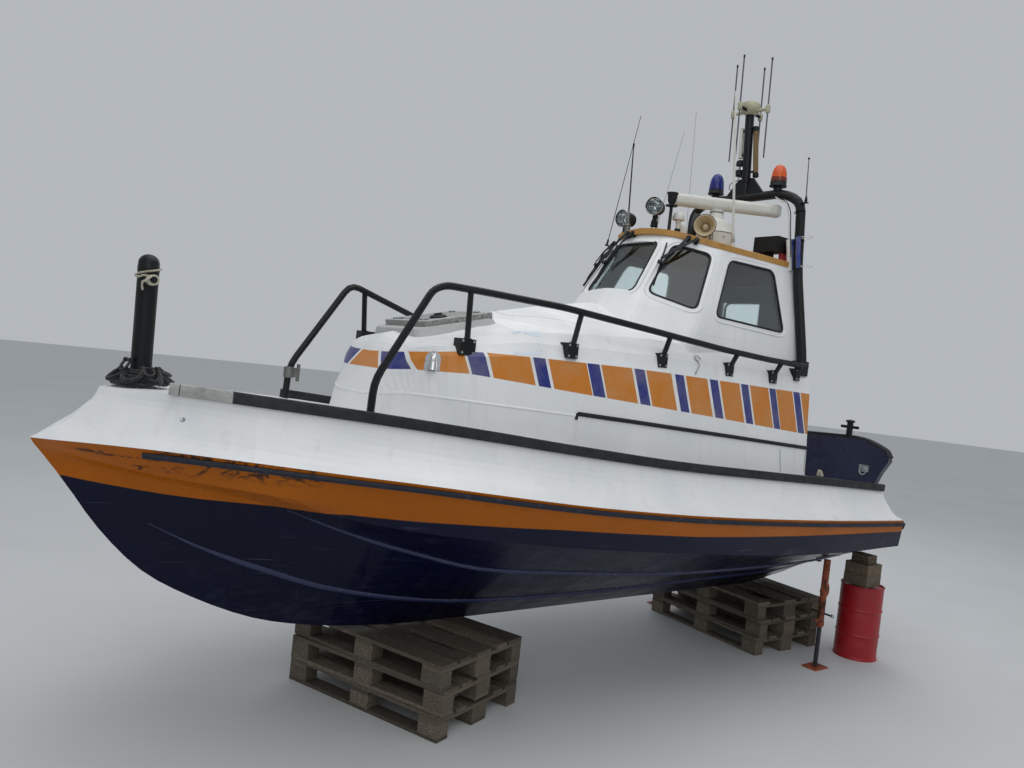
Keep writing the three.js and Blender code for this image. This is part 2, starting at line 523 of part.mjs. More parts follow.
// Radar
const RADAR = { x: -1500, y: 40, z: 3200, top: 3520 };
const pedestal = turned([[0, -60], [140, -60], [155, 20], [158, 150], [125, 232], [62, 268], [52, 320],
  [0, 320]],
  [RADAR.x, RADAR.y, RADAR.z], 20);
add("radar_pedestal", pedestal.subtract(underRoof), "white");
const blade = box(-500, 470, -42, 42, 22, 112).rotate([0, 0, 150]).translate([RADAR.x, RADAR.y, RADAR.top]);
const spigot = rod([RADAR.x, RADAR.y, RADAR.top + GAP], [RADAR.x, RADAR.y, RADAR.top + 40], 40);
add("radar_scanner", blade.add(spigot), "white");

// Searchlights, each turning on its stem; turn is where it points at rest, foot the roof under the stem
const LIGHTS = [["centre", -860, -10, 3440, 40, 3250], ["starboard", -830, -290, 3362, -35, 3226]];
for (const [side, x, y, z, turn, foot] of LIGHTS) {
  const shell = loft([[-85, 40], [-60, 58], [30, 70], [50, 70]].map(([dx, r]) =>
    [...Array(20)].map((_, k) => {
    const a = (k * Math.PI) / 10;
    return [dx, r * Math.cos(a), r * Math.sin(a)];
  })));
  const head = shell.add(rod([0, 0, -110], [0, 0, -40], 26)).rotate([0, 0, turn]).translate([x, y, z]);
  add("searchlight_" + side, head.add(rod([x, y, foot + GAP], [x, y, z - 60], 20)), "steel");
}

// Loud hailer, floodlight and whip aerials
const HORN = { x: -1215, y: 190, z: 3335 };
const hornRing = (list) => loft(list.map(([d, r]) => [...Array(16)].map((_, k) => {
  const a = (k * Math.PI) / 8;
  return [d, r * Math.cos(a), r * Math.sin(a)];
})));
const horn = hornRing([[100, 82], [90, 86], [30, 50], [-40, 34], [-50, 48], [-120, 48]])
  .subtract(hornRing([[101, 76], [20, 34], [-10, 22]])).rotate([0, 0, 35])
    .translate([HORN.x, HORN.y, HORN.z]);
add("loud_hailer", horn.add(box(HORN.x - 90, HORN.x - 40, HORN.y - 55, HORN.y - 15, 3120, 3310))
  .subtract(underRoof), "white");
add("floodlight", box(-1900, -1760, 235, 460, 3240, 3360).add(box(-1850, -1800, 320, 370, 3080, 3250))
  .subtract(underRoof).subtract(arch.translate([GAP, 0, 0])), "black");
const WHIPS = [["port", [-1200, 485, 3140], [-1005, 500, 4260]],
  ["starboard", [-735, -160, 3180], [-690, -180, 3985]]];
for (const [side, a, b] of WHIPS) {
  const at = (k) => a.map((v, i) => v + (b[i] - v) * k);
  const whip = cone(at(0), at(1), 9, 5, 8).add(rod(at(0), at(0.13), 20, 10));
  add("whip_" + side, whip.subtract(underRoof), "white");
}

// Bow post with the tow line around its foot
const POST = { x: 2655, y: 0, r: 50, top: 2480 };
let post = rod([POST.x, 0, 1700], [POST.x, 0, POST.top - 50], POST.r, 20);
post = post.add(turned([[0, 0], [POST.r, 0], [POST.r, 20], [38, 44], [0, 58]], [POST.x, 0, POST.top - 51],
  20));
post = post.add(rod([POST.x, -130, POST.top - 130], [POST.x, 130, POST.top - 130], 14, 10));
add("bow_post", post.subtract(deckLine.translate([0, 0, 0.1])), "black");
const coil = turned([[POST.r + 1, -20], [142, -20], [138, 22], [88, 92], [POST.r + 1, 104],
  [POST.r + 1, -20]], [POST.x, 0, 1806], 20);
add("tow_line", coil.subtract(deckLine.translate([0, 0, 0.1])), "rubber");

// The hatch's plinth and lid
const plinthRing = (fore, aft, side, z) => outline([[HATCH.l / 2 + fore, 0],
  [HATCH.l / 2 + fore, HATCH.w / 2 + side], [-HATCH.l / 2 - aft, HATCH.w / 2 + side], [-HATCH.l / 2 - aft, 0]],
z, 60);
const plinth = loft([plinthRing(HATCH.ahead + 14, 55, 60, -90), plinthRing(HATCH.ahead, 18, 16, -5),
  plinthRing(HATCH.ahead - 6, 14, 12, 0)]).subtract(box(-190, 190, -205, 205, -200, 100));
add("hatch_frame", largest(onSlope(plinth).subtract(trunkForm(false).translate([0, 0, GAP]))
  .subtract(cabinGrown)), "white");
add("hatch_lid", onSlope(hatchBox(4, GAP, GAP + HATCH.lid)), "grey");

// Stern bulwark with a bitt on each side
const BULWARK = [[0, 1300], [690, 1300], [690, 1458], [806, 1470], [842, 1560], [905, 1668], [902, 1700],
  [862, 1758],
  [690, 1822], [560, 1834], [0, 1812]];
const bulwarkRing = BULWARK.concat(BULWARK.slice(1, -1).reverse().map(([y, z]) => [-y, z]));
const bulwark = loft([-3052, -2990].map((x) => bulwarkRing.map(([y, z]) => [x, y, z])));
add("stern_bulwark", largest(bulwark.subtract(hullTop.subtract(cockpit).translate([0, 0, GAP])
  .add(hullGrown.subtract(cockpit)))), "navy");
for (const [side, s] of sides) {
  const bitt = rod([-3021, 510 * s, 1760], [-3021, 510 * s, 1960], 26)
    .add(turned([[0, 1955], [38, 1955], [38, 1972], [0, 1980]], [-3021, 510 * s, 0]))
    .add(rod([-3021, 430 * s, 1915], [-3021, 590 * s, 1915], 13, 10))
      .add(rod([-3021, 510 * s, 1822], [-3021, 510 * s, 1846], 52));
  add("stern_bitt_" + side, largest(bitt.subtract(bulwark.translate([0, 0, GAP]))), "black");
}
const fender = loft([-1046, -1030, 1030, 1046].map((y, i) => [[-3070.3, -38], [-3112, -34], [-3130, -12],
  [-3130, 12], [-3112, 34], [-3070.3, 38]]
  .map(([x, z]) => [i % 3 ? x : -3070.3 + (x + 3070.3) * 0.6, y, 1160 + z * (i % 3 ? 1 : 0.7)])));
add("stern_fender", fender, "rubber");

// Aft door on its hinge side
const DOOR = { x: AFT_WALL_X - 6, t: 28, y: 290, z0: 1318, z1: 3000, pin: [-2009, 312] };
const leaf = box(DOOR.x - DOOR.t, DOOR.x, -DOOR.y, DOOR.y, DOOR.z0, DOOR.z1)
  .subtract(box(DOOR.x - 60, DOOR.x + 20, -190, 190, 2250, 2860));
let door = leaf.add(box(DOOR.x - DOOR.t - 40, DOOR.x - DOOR.t, -262, -240, 2010, 2110)), pins = null;
const HINGE_Z = [1560, 2700];
for (const z of HINGE_Z) door = door.add(rod([...DOOR.pin, z], [...DOOR.pin, z + 60], 12))
  .add(box(-2009, DOOR.x - 4, 280, 312, z, z + 60));
add("aft_door", door, "white");
for (const [i, z] of HINGE_Z.entries()) {
  const lug = rod([...DOOR.pin, z - 30.3], [...DOOR.pin, z - GAP], 12)
    .add(box(-2010, AFT_WALL_X - GAP, 302, 324, z - 30.3, z - GAP))
    .add(box(AFT_WALL_X - 10, AFT_WALL_X - GAP, 302, 350, z - 30.3, z + 60));
  add("door_lug_" + (i + 1), lug, "steel");
}
add("door_window", box(DOOR.x - 17, DOOR.x - 11, -190 + GAP, 190 - GAP, 2250 + GAP, 2860 - GAP), "glass");

// Engine under its hatch in the cockpit sole
add("engine", box(-2700, -2170, -250, 250, 800 + GAP, 1215), "engine");
const SOLE_HATCH = { x0: -2800, x1: -2070, y: 305, t: 25 };
add("engine_hatch", box(SOLE_HATCH.x0, SOLE_HATCH.x1, -SOLE_HATCH.y, SOLE_HATCH.y, COCKPIT_Z + GAP,
  COCKPIT_Z + SOLE_HATCH.t), "grey");

// Helm and seats in the cabin
const CONSOLE_X = -900;
const deskSide = [[CONSOLE_X, SOLE_Z + GAP], [CONSOLE_X + 260, SOLE_Z + GAP], [CONSOLE_X + 260, 2330],
  [CONSOLE_X + 60, 2360], [CONSOLE_X - 60, 2270], [CONSOLE_X - 60, 2170], [CONSOLE_X, 2120]];
add("helm_console", loft([-560, -60].map((y) => deskSide.map(([x, z]) => [x, y, z]))), "grey");
const wheelRing = new THREE.TorusGeometry(150, 12, 8, 24);
const WHEEL = { x: CONSOLE_X - 120, y: -310, z: 2225 };
let helmWheel = solidOf(wheelRing).rotate([0, 90, 0]);
helmWheel = helmWheel.add(rod([-18, 0, 0], [59.7, 0, 0], 20)).add(rod([0, -150, 0], [0, 150, 0], 8, 8))
  .add(rod([0, 0, -150], [0, 0, 150], 8, 8));
add("helm_wheel", helmWheel.translate([WHEEL.x, WHEEL.y, WHEEL.z]), "black");
for (const [side, s] of sides) {
  const [inner, outer] = s > 0 ? [110, 510] : [-510, -110];
  const seat = rod([-1480, 310 * s, SOLE_Z + GAP], [-1480, 310 * s, 1820], 45)
    .add(box(-1680, -1280, inner, outer, 1790, 1890))
    .add(box(-1700, -1620, inner + 10, outer - 10, 1850, 2340))
    .add(rod([-1480, 310 * s, SOLE_Z + GAP], [-1480, 310 * s, SOLE_Z + 20], 130));
  add("seat_" + side, seat, "seat");
}

// Water jet at the transom
const JET = { z: 760, x: TRANSOM_X };
const jetBody = loft([[0, 135], [-90, 130], [-200, 92], [-215, 92]].map(([dx, r]) =>
  [...Array(20)].map((_, k) => {
  const a = (k * Math.PI) / 10;
  return [JET.x - GAP + dx, r * Math.cos(a), JET.z + r * Math.sin(a)];
})));
const bore = rod([JET.x - 240, 0, JET.z], [JET.x - 60, 0, JET.z], 66, 20);
const ears = box(JET.x - 302, JET.x - 190, -26, 26, JET.z + 96, JET.z + 118)
  .add(box(JET.x - 302, JET.x - 190, -26, 26, JET.z - 118, JET.z - 96))
  .add(box(JET.x - 216, JET.x - 170, -26, 26, JET.z + 70, JET.z + 118))
    .add(box(JET.x - 216, JET.x - 170, -26, 26, JET.z - 118, JET.z - 70));
add("jet_housing", jetBody.add(ears).subtract(bore).subtract(hullSolid.translate([-GAP, 0, 0])), "steel");
const nozzleRing = (list) => loft(list.map(([dx, r]) => [...Array(20)].map((_, k) => {
  const a = (k * Math.PI) / 10;
  return [JET.x + dx, r * Math.cos(a), JET.z + r * Math.sin(a)];
})));
add("jet_nozzle", nozzleRing([[-272, 88], [-320, 82], [-380, 70]])
  .add(rod([JET.x - 286, 0, JET.z - 95.7], [JET.x - 286, 0, JET.z + 95.7], 13, 12))
  .subtract(nozzleRing([[-200, 66], [-400, 56]])), "steel");

// What it stands on: pallets, props, drums and wooden blocks
function pallet(x, y, yaw, z) {
  const { l, w, board: t, block: b, h } = PALLET, parts = [];
  for (const px of [-w / 2 + 50, 0, w / 2 - 50]) parts.push(box(px - (px ? 50 : 72), px + (px ? 50 : 72),
    -l / 2, l / 2, 0, t));
  for (const py of [-l / 2 + 72, 0, l / 2 - 72]) parts.push(box(-w / 2, w / 2, py - 72, py + 72, t + b,
    2 * t + b));
  for (const px of [-w / 2 + 50, 0, w / 2 - 50]) for (const py of [-l / 2 + 72, 0, l / 2 - 72])
    parts.push(box(px - (px ? 50 : 72), px + (px ? 50 : 72), py - 72, py + 72, t, t + b));
  for (const [px, bw] of [[-w / 2 + 72, 72], [-185, 50], [0, 72], [185, 50], [w / 2 - 72, 72]])
    parts.push(box(px - bw, px + bw, -l / 2, l / 2, 2 * t + b, h - GAP));
  return union(parts).rotate([0, 0, yaw]).translate([x, y, z]);
}
for (const [name, st] of [["front", FRONT_STACK], ["rear", REAR_STACK]])
  for (let i = 0; i < st.n; i++) add("pallet_" + name + "_" + (i + 1),
    pallet(st.x, st.y, st.yaw + [0, 1.5, -1][i], i * PALLET.h), "wood");
const hullAbove = hullSolid.translate([0, 0, -GAP]);
const DRUM = { x: -3015, r: 176, h: 612 };
const drumProfile = [[0, 0], [1, 0], [0.97, 14], [0.97, 190], [1.01, 200], [0.97, 210], [0.97, 400],
  [1.01, 410], [0.97, 420],
  [0.97, 596], [1, 604], [0.96, DRUM.h], [0, DRUM.h]].map(([k, z]) => [k * DRUM.r, z]);
const PROP = { x: -2360, y: 840 };
for (const [side, s] of sides) {
  const y = s > 0 ? 800 : -870;
  add("drum_" + side, turned(drumProfile, [DRUM.x, y, 0], 20), "red");
  const low = box(DRUM.x - 85, DRUM.x + 135, y - 105, y + 105, DRUM.h + GAP, 800);
  const high = box(DRUM.x - 45, DRUM.x + 100, y - 75, y + 75, 790, 1050);
  add("drum_block_" + side, largest(low.add(high).subtract(hullAbove)), "wood");
  const px = PROP.x, py = PROP.y * s;
  const prop = union([
    rod([px, py, 8], [px, py, 470], 17), rod([px, py, 330], [px, py, 900], 26), // inner and outer tube
    // foot and head
    box(px - 90, px + 90, py - 65, py + 65, 0, 10), box(px - 85, px + 85, py - 55, py + 55, 872, 1000),
    // gusset and pin
    box(px, px + 90, py - 6, py + 6, 330, 400), rod([px, py - 90, 440], [px, py + 90, 440], 9, 8),
    box(px - 70, px - 20, py - 8, py + 8, 560, 690), // ratchet handle
  ]);
  add("prop_" + side, largest(prop.subtract(hullAbove)), "rust");
}

boat.position.x = 170; // puts the origin under the middle of the whole length
export default boat;
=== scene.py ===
"""Looks of the inshore rescue boat on its pallets, props and drums. Metres, +X bow, +Y port, +Z up."""

import json
import math
import random

import bmesh
import bpy
import numpy as np
from mathutils import Matrix, Vector
from mathutils.bvhtree import BVHTree

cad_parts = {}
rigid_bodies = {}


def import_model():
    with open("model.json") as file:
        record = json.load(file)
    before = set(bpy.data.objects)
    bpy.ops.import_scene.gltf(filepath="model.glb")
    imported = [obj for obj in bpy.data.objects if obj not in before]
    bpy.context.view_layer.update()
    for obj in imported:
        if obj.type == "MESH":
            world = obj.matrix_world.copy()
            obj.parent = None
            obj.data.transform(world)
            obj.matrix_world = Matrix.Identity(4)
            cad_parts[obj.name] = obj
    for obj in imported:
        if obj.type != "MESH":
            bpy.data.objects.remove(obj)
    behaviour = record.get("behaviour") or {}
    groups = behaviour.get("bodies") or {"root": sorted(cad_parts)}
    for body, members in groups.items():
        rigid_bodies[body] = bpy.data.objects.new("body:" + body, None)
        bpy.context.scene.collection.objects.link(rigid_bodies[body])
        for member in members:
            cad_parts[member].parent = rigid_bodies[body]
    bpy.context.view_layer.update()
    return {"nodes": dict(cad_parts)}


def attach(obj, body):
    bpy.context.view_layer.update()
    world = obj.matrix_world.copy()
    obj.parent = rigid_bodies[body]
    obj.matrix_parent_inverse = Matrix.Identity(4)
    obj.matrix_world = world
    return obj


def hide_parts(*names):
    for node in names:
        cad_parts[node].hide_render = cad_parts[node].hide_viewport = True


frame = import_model()
NODES = frame["nodes"]
SCENE = bpy.context.scene


# The row frame's x is the drawing's plus this, in millimetres
SHIFT = 170

# Places in the drawing, in millimetres
TRANSOM = -3070
ARCH_X = -1880
DRUM_X = -3015
PROP_X = -2360
SEAT_X = -1480
POST_X = 2655
MAST_FOOT = 3722
PALLET_HEIGHT = 144

SIDES = (("port", 1), ("starboard", -1))
UP = Vector((0, 0, 1))
DOWN = -UP
AFT = Vector((-1, 0, 0))
FORWARD = Vector((1, 0, 0))
PORTWARD = Vector((0, 1, 0))


def D(x, y, z):
    """A point of the boat's drawing, in millimetres from its own midship mark, in the row frame."""
    return Vector(((x + SHIFT) / 1000, y / 1000, z / 1000))


def spoke(a):
    """A level direction, turned from the bow by an angle in radians."""
    return Vector((math.cos(a), math.sin(a), 0))


# Camera, at the photograph's viewing angle
camera = bpy.data.objects.new("camera", bpy.data.cameras.new("camera"))
SCENE.collection.objects.link(camera)
camera.matrix_world = Matrix((
    (-0.79292, 0.07299, 0.60494, 3.810),
    (0.59929, -0.08603, 0.79590, 4.359),
    (0.11014, 0.99362, 0.02447, 2.136),
    (0, 0, 0, 1)))
camera.data.lens, camera.data.sensor_width = 28.58, 36
camera.data.clip_start, camera.data.clip_end = 0.05, 200
SCENE.camera = camera


# Shapes, as lists of points and faces
def sweep(path, section, close=False, caps=True, scale=None, twist=0.0, up=None):
    """Moves a flat section [(a, b), ...] along a path. Twist is in turns per metre."""
    path = [Vector(p) for p in path]
    rings, normal, run = [], None, 0.0
    for i, p in enumerate(path):
        nxt = path[(i + 1) % len(path)] if close else path[min(i + 1, len(path) - 1)]
        prv = path[i - 1] if close or i else path[0]
        t = (nxt - prv).normalized()
        if up is not None:
            normal = up[i].copy() if isinstance(up, list) else Vector(up)
        elif normal is None:
            normal = Vector((0.31, 0.52, 0.79)).cross(t)
        normal = (normal - t * normal.dot(t)).normalized()
        other = t.cross(normal)
        run += (p - path[i - 1]).length if i else 0
        c, s = math.cos(run * twist * math.tau), math.sin(run * twist * math.tau)
        k = scale[i] if scale else 1.0
        rings.append([p + normal * ((a * c - b * s) * k) + other * ((a * s + b * c) * k) for a, b in section])
    return skin(rings, close, caps)


def skin(rings, close=False, caps=True):
    """Joins closed rings of equal length."""
    n, m = len(rings[0]), len(rings)
    verts = [tuple(v) for r in rings for v in r]
    faces = [(i * n + j, i * n + (j + 1) % n, ((i + 1) % m) * n + (j + 1) % n, ((i + 1) % m) * n + j)
             for i in range(m if close else m - 1) for j in range(n)]
    if caps and not close:
        faces += [tuple(range(n)), tuple((m - 1) * n + j for j in range(n))]
    return verts, faces


def circle(r, n=12, lobes=0, depth=0.0):
    """A round section, with hollows between its lobes if it has any."""
    out = []
    for k in range(n):
        a, q = math.tau * k / n, r * (1 - depth + depth * abs(math.cos(lobes * math.pi * k / n)))
        out.append((q * math.cos(a), q * math.sin(a)))
    return out


def rounded(w, h, r, steps=3):
    """A rounded rectangle section."""
    out = []
    for cx, cy, a0 in ((w / 2 - r, h / 2 - r, 0), (-w / 2 + r, h / 2 - r, 90), (-w / 2 + r, -h / 2 + r, 180),
                       (w / 2 - r, -h / 2 + r, 270)):
        for k in range(steps + 1):
            a = math.radians(a0 + 90 * k / steps)
            out.append((cx + r * math.cos(a), cy + r * math.sin(a)))
    return out


def smooth(points, step=0.02, close=False):
    """Evenly spaced points on a smooth curve through the given ones."""
    p = [Vector(q) for q in points]
    p = [p[-1]] + p + p[:2] if close else [2 * p[0] - p[1]] + p + [2 * p[-1] - p[-2]]
    fine = []
    for i in range(1, len(p) - 2):
        for k in range(24):
            t = k / 24
            a, b, c, d = p[i - 1:i + 3]
            fine.append(0.5 * (2 * b + (c - a) * t + (2 * a - 5 * b + 4 * c - d) * t * t
                               + (3 * b - a - 3 * c + d) * t ** 3))
    if not close:
        fine.append(p[-2])
    run = [0.0]
    for a, b in zip(fine, fine[1:]):
        run.append(run[-1] + (b - a).length)
    n = max(2, round(run[-1] / step))
    xyz = np.array([tuple(q) for q in fine])
    want = np.linspace(0, run[-1], n + 1)[: n + (0 if close else 1)]
    return [Vector([float(np.interp(w, run, xyz[:, k])) for k in range(3)]) for w in want]


def lathe(profile, at, axis=UP, n=24, wobble=None):
    """Turns a profile of (radius, height) pairs about an axis through a point."""
    z = Vector(axis).normalized()
    x = z.orthogonal().normalized() if abs(z.z) < 0.99 else Vector((1, 0, 0))
    y, at = z.cross(x), Vector(at)
    verts, faces, rows = [], [], []
    for r, h in profile:
        if r < 1e-6:
            rows.append([len(verts)] * n)
            verts.append(tuple(at + z * h))
            continue
        rows.append(list(range(len(verts), len(verts) + n)))
        for k in range(n):
            a = math.tau * k / n
            q = r if wobble is None else wobble(r, h, a)
            verts.append(tuple(at + x * (q * math.cos(a)) + y * (q * math.sin(a)) + z * h))
    for a, b in zip(rows, rows[1:]):
        for k in range(n):
            f = [a[k], a[(k + 1) % n], b[(k + 1) % n], b[k]]
            f = [v for i, v in enumerate(f) if v not in f[:i]]
            if len(f) > 2:
                faces.append(tuple(f))
    return verts, faces


def block(size, at, turn=None, taper=1.0):
    """A box by its size and centre, turned by a matrix, its top tapered."""
    x, y, z = (s / 2 for s in size)
    turn = turn or Matrix.Identity(3)
    pts = [(-x, -y, -z), (x, -y, -z), (x, y, -z), (-x, y, -z)]
    pts += [(a * taper, b * taper, -c) for a, b, c in pts]
    verts = [tuple(Vector(at) + turn @ Vector(p)) for p in pts]
    return verts, [(3, 2, 1, 0), (4, 5, 6, 7), (0, 1, 5, 4), (1, 2, 6, 5), (2, 3, 7, 6), (3, 0, 4, 7)]


def span(lo, hi):
    """A box between two corners in drawing millimetres."""
    a, b = D(*lo), D(*hi)
    return block([abs(v) for v in b - a], (a + b) / 2)


def prism(outline, depth, at, right, up):
    """A flat outline [(a, b), ...] given thickness, both ways from its plane."""
    right, up = Vector(right).normalized(), Vector(up)
    up = (up - right * up.dot(right)).normalized()
    out = right.cross(up)
    rings = [[Vector(at) + right * a + up * b + out * d for a, b in outline] for d in (-depth / 2, depth / 2)]
    return skin(rings)


def rod(a, b, r, n=12, r2=None):
    a, b = Vector(a), Vector(b)
    return sweep([a, b], circle(r, n), scale=[1, (r2 or r) / r])


def wire(points, r, n=8, step=0.02, close=False):
    return sweep(smooth(points, step, close), circle(r, n), close=close)


def torus(at, axis, big, small, n=32, m=10):
    z = Vector(axis).normalized()
    x = z.orthogonal().normalized()
    y = z.cross(x)
    path = [Vector(at) + (x * math.cos(math.tau * k / n) + y * math.sin(math.tau * k / n)) * big
            for k in range(n)]
    return sweep(path, circle(small, m), close=True)


def oblong(a, b):
    """A flat rectangle by its half sizes."""
    return [(-a, -b), (a, -b), (a, b), (-a, b)]


def bolt(at, axis, r=0.009, h=0.007):
    return lathe([(0, 0), (r * 1.5, 0), (r * 1.5, h * 0.25), (r, h * 0.3), (r * 0.95, h), (0, h)], at, axis,
                 6)


def soften(obj, name, width, segments):
    """Bevels an object's sharp edges."""
    edge = obj.modifiers.new(name, "BEVEL")
    edge.width, edge.segments = width, segments
    edge.limit_method, edge.angle_limit = "ANGLE", math.radians(40)
    edge.harden_normals = False


class Piece:
    """Collects shapes and makes one object of them."""

    def __init__(self, name):
        self.name, self.verts, self.faces, self.ids, self.mats, self.tones = name, [], [], [], [], []

    def add(self, shape, mat, tone=0.5):
        verts, faces = shape
        if mat not in self.mats:
            self.mats.append(mat)
        base = len(self.verts)
        self.verts += [tuple(v) for v in verts]
        self.faces += [tuple(base + i for i in f) for f in faces]
        self.ids += [self.mats.index(mat)] * len(faces)
        self.tones += [tone] * len(verts)
        return self

    def done(self, slot, body="boat", angle=38, bevel=0.0, replaces=(), subdivide=0, weld=True):
        mesh = bpy.data.meshes.new(self.name)
        mesh.from_pydata(self.verts, [], self.faces)
        for m in self.mats:
            mesh.materials.append(m)
        mesh.polygons.foreach_set("material_index", self.ids)
        mesh.attributes.new("tone", "FLOAT", "POINT").data.foreach_set("value", self.tones)
        bm = bmesh.new()
        bm.from_mesh(mesh)
        if weld:
            bmesh.ops.remove_doubles(bm, verts=bm.verts, dist=1e-5)
        bmesh.ops.recalc_face_normals(bm, faces=bm.faces)
        bm.to_mesh(mesh)
        bm.free()
        mesh.shade_smooth()
        mesh.set_sharp_from_angle(angle=math.radians(angle))
        obj = bpy.data.objects.new(self.name, mesh)
        SCENE.collection.objects.link(obj)
        if bevel:
            soften(obj, "edges", bevel, 2)
        if subdivide:
            s = obj.modifiers.new("round", "SUBSURF")
            s.levels = s.render_levels = subdivide
        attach(obj, body)
        if replaces:
            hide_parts(*replaces)
        return obj


def surface(*names):
    """A search tree of CAD nodes, to set things on them."""
    verts, faces = [], []
    for n in names:
        mesh, base = NODES[n].data, len(verts)
        verts += [v.co.copy() for v in mesh.vertices]
        faces += [tuple(base + i for i in p.vertices) for p in mesh.polygons]
    return BVHTree.FromPolygons(verts, faces)


def land(tree, start, direction):
    """The first point and outward normal met from a start, in the row frame."""
    at, normal, _, _ = tree.ray_cast(Vector(start), Vector(direction).normalized())
    if at is None:
        raise ValueError(f"nothing is met from {tuple(start)}")
    return at, normal if normal.dot(Vector(direction)) < 0 else -normal


# Shading
def rgb(code):
    """A linear colour from six hexadecimal digits."""
    v = [int(code[i:i + 2], 16) / 255 for i in (0, 2, 4)]
    return tuple(x / 12.92 if x <= 0.04045 else ((x + 0.055) / 1.055) ** 2.4 for x in v)


class Shade:
    """A procedural material built round one Principled shader."""

    def __init__(self, name, rough=0.5, metal=0.0, **sockets):
        self.mat = bpy.data.materials.new(name)
        self.mat.use_nodes = True
        self.tree = self.mat.node_tree
        self.bsdf = self.tree.nodes["Principled BSDF"]
        self.put("Roughness", rough)
        self.put("Metallic", metal)
        for k, v in sockets.items():
            self.put(k.replace("_", " "), v)
        self.place = self.tree.nodes.new("ShaderNodeTexCoord").outputs["Object"]

    def put(self, name, value):
        self.join(self.bsdf.inputs[name], value)

    def join(self, socket, value):
        if isinstance(value, bpy.types.NodeSocket):
            self.tree.links.new(value, socket)
        elif isinstance(value, (tuple, list)) and len(value) == 3 and len(socket.default_value) == 4:
            socket.default_value = (*value, 1)
        else:
            socket.default_value = value

    def node(self, kind, ins=None, **props):
        n = self.tree.nodes.new("ShaderNode" + kind)
        for k, v in props.items():
            setattr(n, k, v)
        for k, v in (ins or {}).items():
            self.join(n.inputs[k], v)
        return n

    def noise(self, scale, detail=3.0, rough=0.55, stretch=(1, 1, 1), warp=0.0, turn=(0, 0, 0)):
        m = self.node("Mapping", {"Vector": self.place, "Scale": stretch, "Rotation": turn})
        n = self.node("TexNoise", {"Vector": m.outputs[0], "Scale": scale, "Detail": detail,
                                   "Roughness": rough, "Distortion": warp})
        return n.outputs[0]

    def cells(self, scale, feature="F1", stretch=(1, 1, 1), out=0):
        m = self.node("Mapping", {"Vector": self.place, "Scale": stretch})
        return self.node("TexVoronoi", {"Vector": m.outputs[0], "Scale": scale}, feature=feature).outputs[out]

    def fit(self, value, lo, hi, a=0.0, b=1.0):
        return self.node("MapRange", {0: value, 1: lo, 2: hi, 3: a, 4: b}).outputs[0]

    def mix(self, fac, a, b, mode="MIX"):
        return self.node("Mix", {0: fac, 6: a, 7: b}, data_type="RGBA", blend_type=mode).outputs[2]

    def math(self, op, a, b=0.0):
        return self.node("Math", {0: a, 1: b}, operation=op).outputs[0]

    def times(self, *values):
        out = values[0]
        for v in values[1:]:
            out = self.math("MULTIPLY", out, v)
        return out

    def axes(self):
        s = self.node("SeparateXYZ", {0: self.place})
        return s.outputs[0], s.outputs[1], s.outputs[2]

    def line(self, value, points):
        """A height read off a line through (value, height) points, in metres."""
        xs, ys = [p[0] for p in points], [p[1] for p in points]
        x0, x1, y0, y1 = min(xs), max(xs), min(ys) - 0.01, max(ys) + 0.01
        n = self.node("FloatCurve", {1: self.fit(value, x0, x1)})
        curve = n.mapping.curves[0]
        norm = sorted(((x - x0) / (x1 - x0), (y - y0) / (y1 - y0)) for x, y in points)
        curve.points[0].location, curve.points[1].location = norm[0], norm[-1]
        for p in norm[1:-1]:
            curve.points.new(*p)
        for p in curve.points:
            p.handle_type = "VECTOR"
        n.mapping.update()
        return self.fit(n.outputs[0], 0.0, 1.0, y0, y1)

    def ramp(self, fac, stops, mode="LINEAR"):
        n = self.node("ValToRGB", {0: fac})
        r = n.color_ramp
        r.interpolation = mode
        r.elements[0].position, r.elements[0].color = stops[0][0], (*stops[0][1], 1)
        r.elements[1].position, r.elements[1].color = stops[-1][0], (*stops[-1][1], 1)
        for pos, col in stops[1:-1]:
            e = r.elements.new(pos)
            e.color = (*col, 1)
        return n.outputs[0]

    def inside(self, value, lo, hi, soft=0.004):
        """1 between two limits, 0 outside, with soft edges."""
        return self.math("MULTIPLY", self.past(value, lo, soft), self.past(value, hi, soft, 1.0, 0.0))

    def past(self, value, limit, soft, before=0.0, after=1.0):
        """Goes from one height to another at a limit, which is a number or a socket."""
        if isinstance(limit, bpy.types.NodeSocket):
            return self.fit(self.math("SUBTRACT", value, limit), -soft, soft, before, after)
        return self.fit(value, limit - soft, limit + soft, before, after)

    def bump(self, height, strength=0.3, distance=0.002, after=None):
        n = self.node("Bump", {"Height": height, "Strength": strength, "Distance": distance})
        if after is not None:
            self.join(n.inputs["Normal"], after)
        self.put("Normal", n.outputs[0])
        return n.outputs[0]


def vary(name, colour, second, rough, scale=3.0, amount=0.5, metal=0.0, bump=0.15, grain=160.0,
         dirt=None, dirt_amount=0.35, stretch=(1, 1, 1), rough_spread=0.12, **sockets):
    """A painted or moulded surface: two close tones in soft clouds, grime, fine grain."""
    s = Shade(name, rough, metal, **sockets)
    clouds = s.fit(s.noise(scale, 5, 0.6, stretch, 0.4), 0.5 - amount / 2, 0.5 + amount / 2)
    col = s.mix(clouds, rgb(colour), rgb(second))
    if dirt:
        spots = s.fit(s.noise(scale * 4.3, 8, 0.7, stretch, 0.8), 0.56, 0.74, 0.0, dirt_amount)
        col = s.mix(spots, col, rgb(dirt))
    s.put("Base Color", col)
    s.put("Roughness", s.fit(s.noise(scale * 7, 4, 0.6, stretch), 0.3, 0.7, rough - rough_spread,
                             rough + rough_spread))
    if bump:
        s.bump(s.noise(grain, 3, 0.6), bump, 0.0015)
    return s


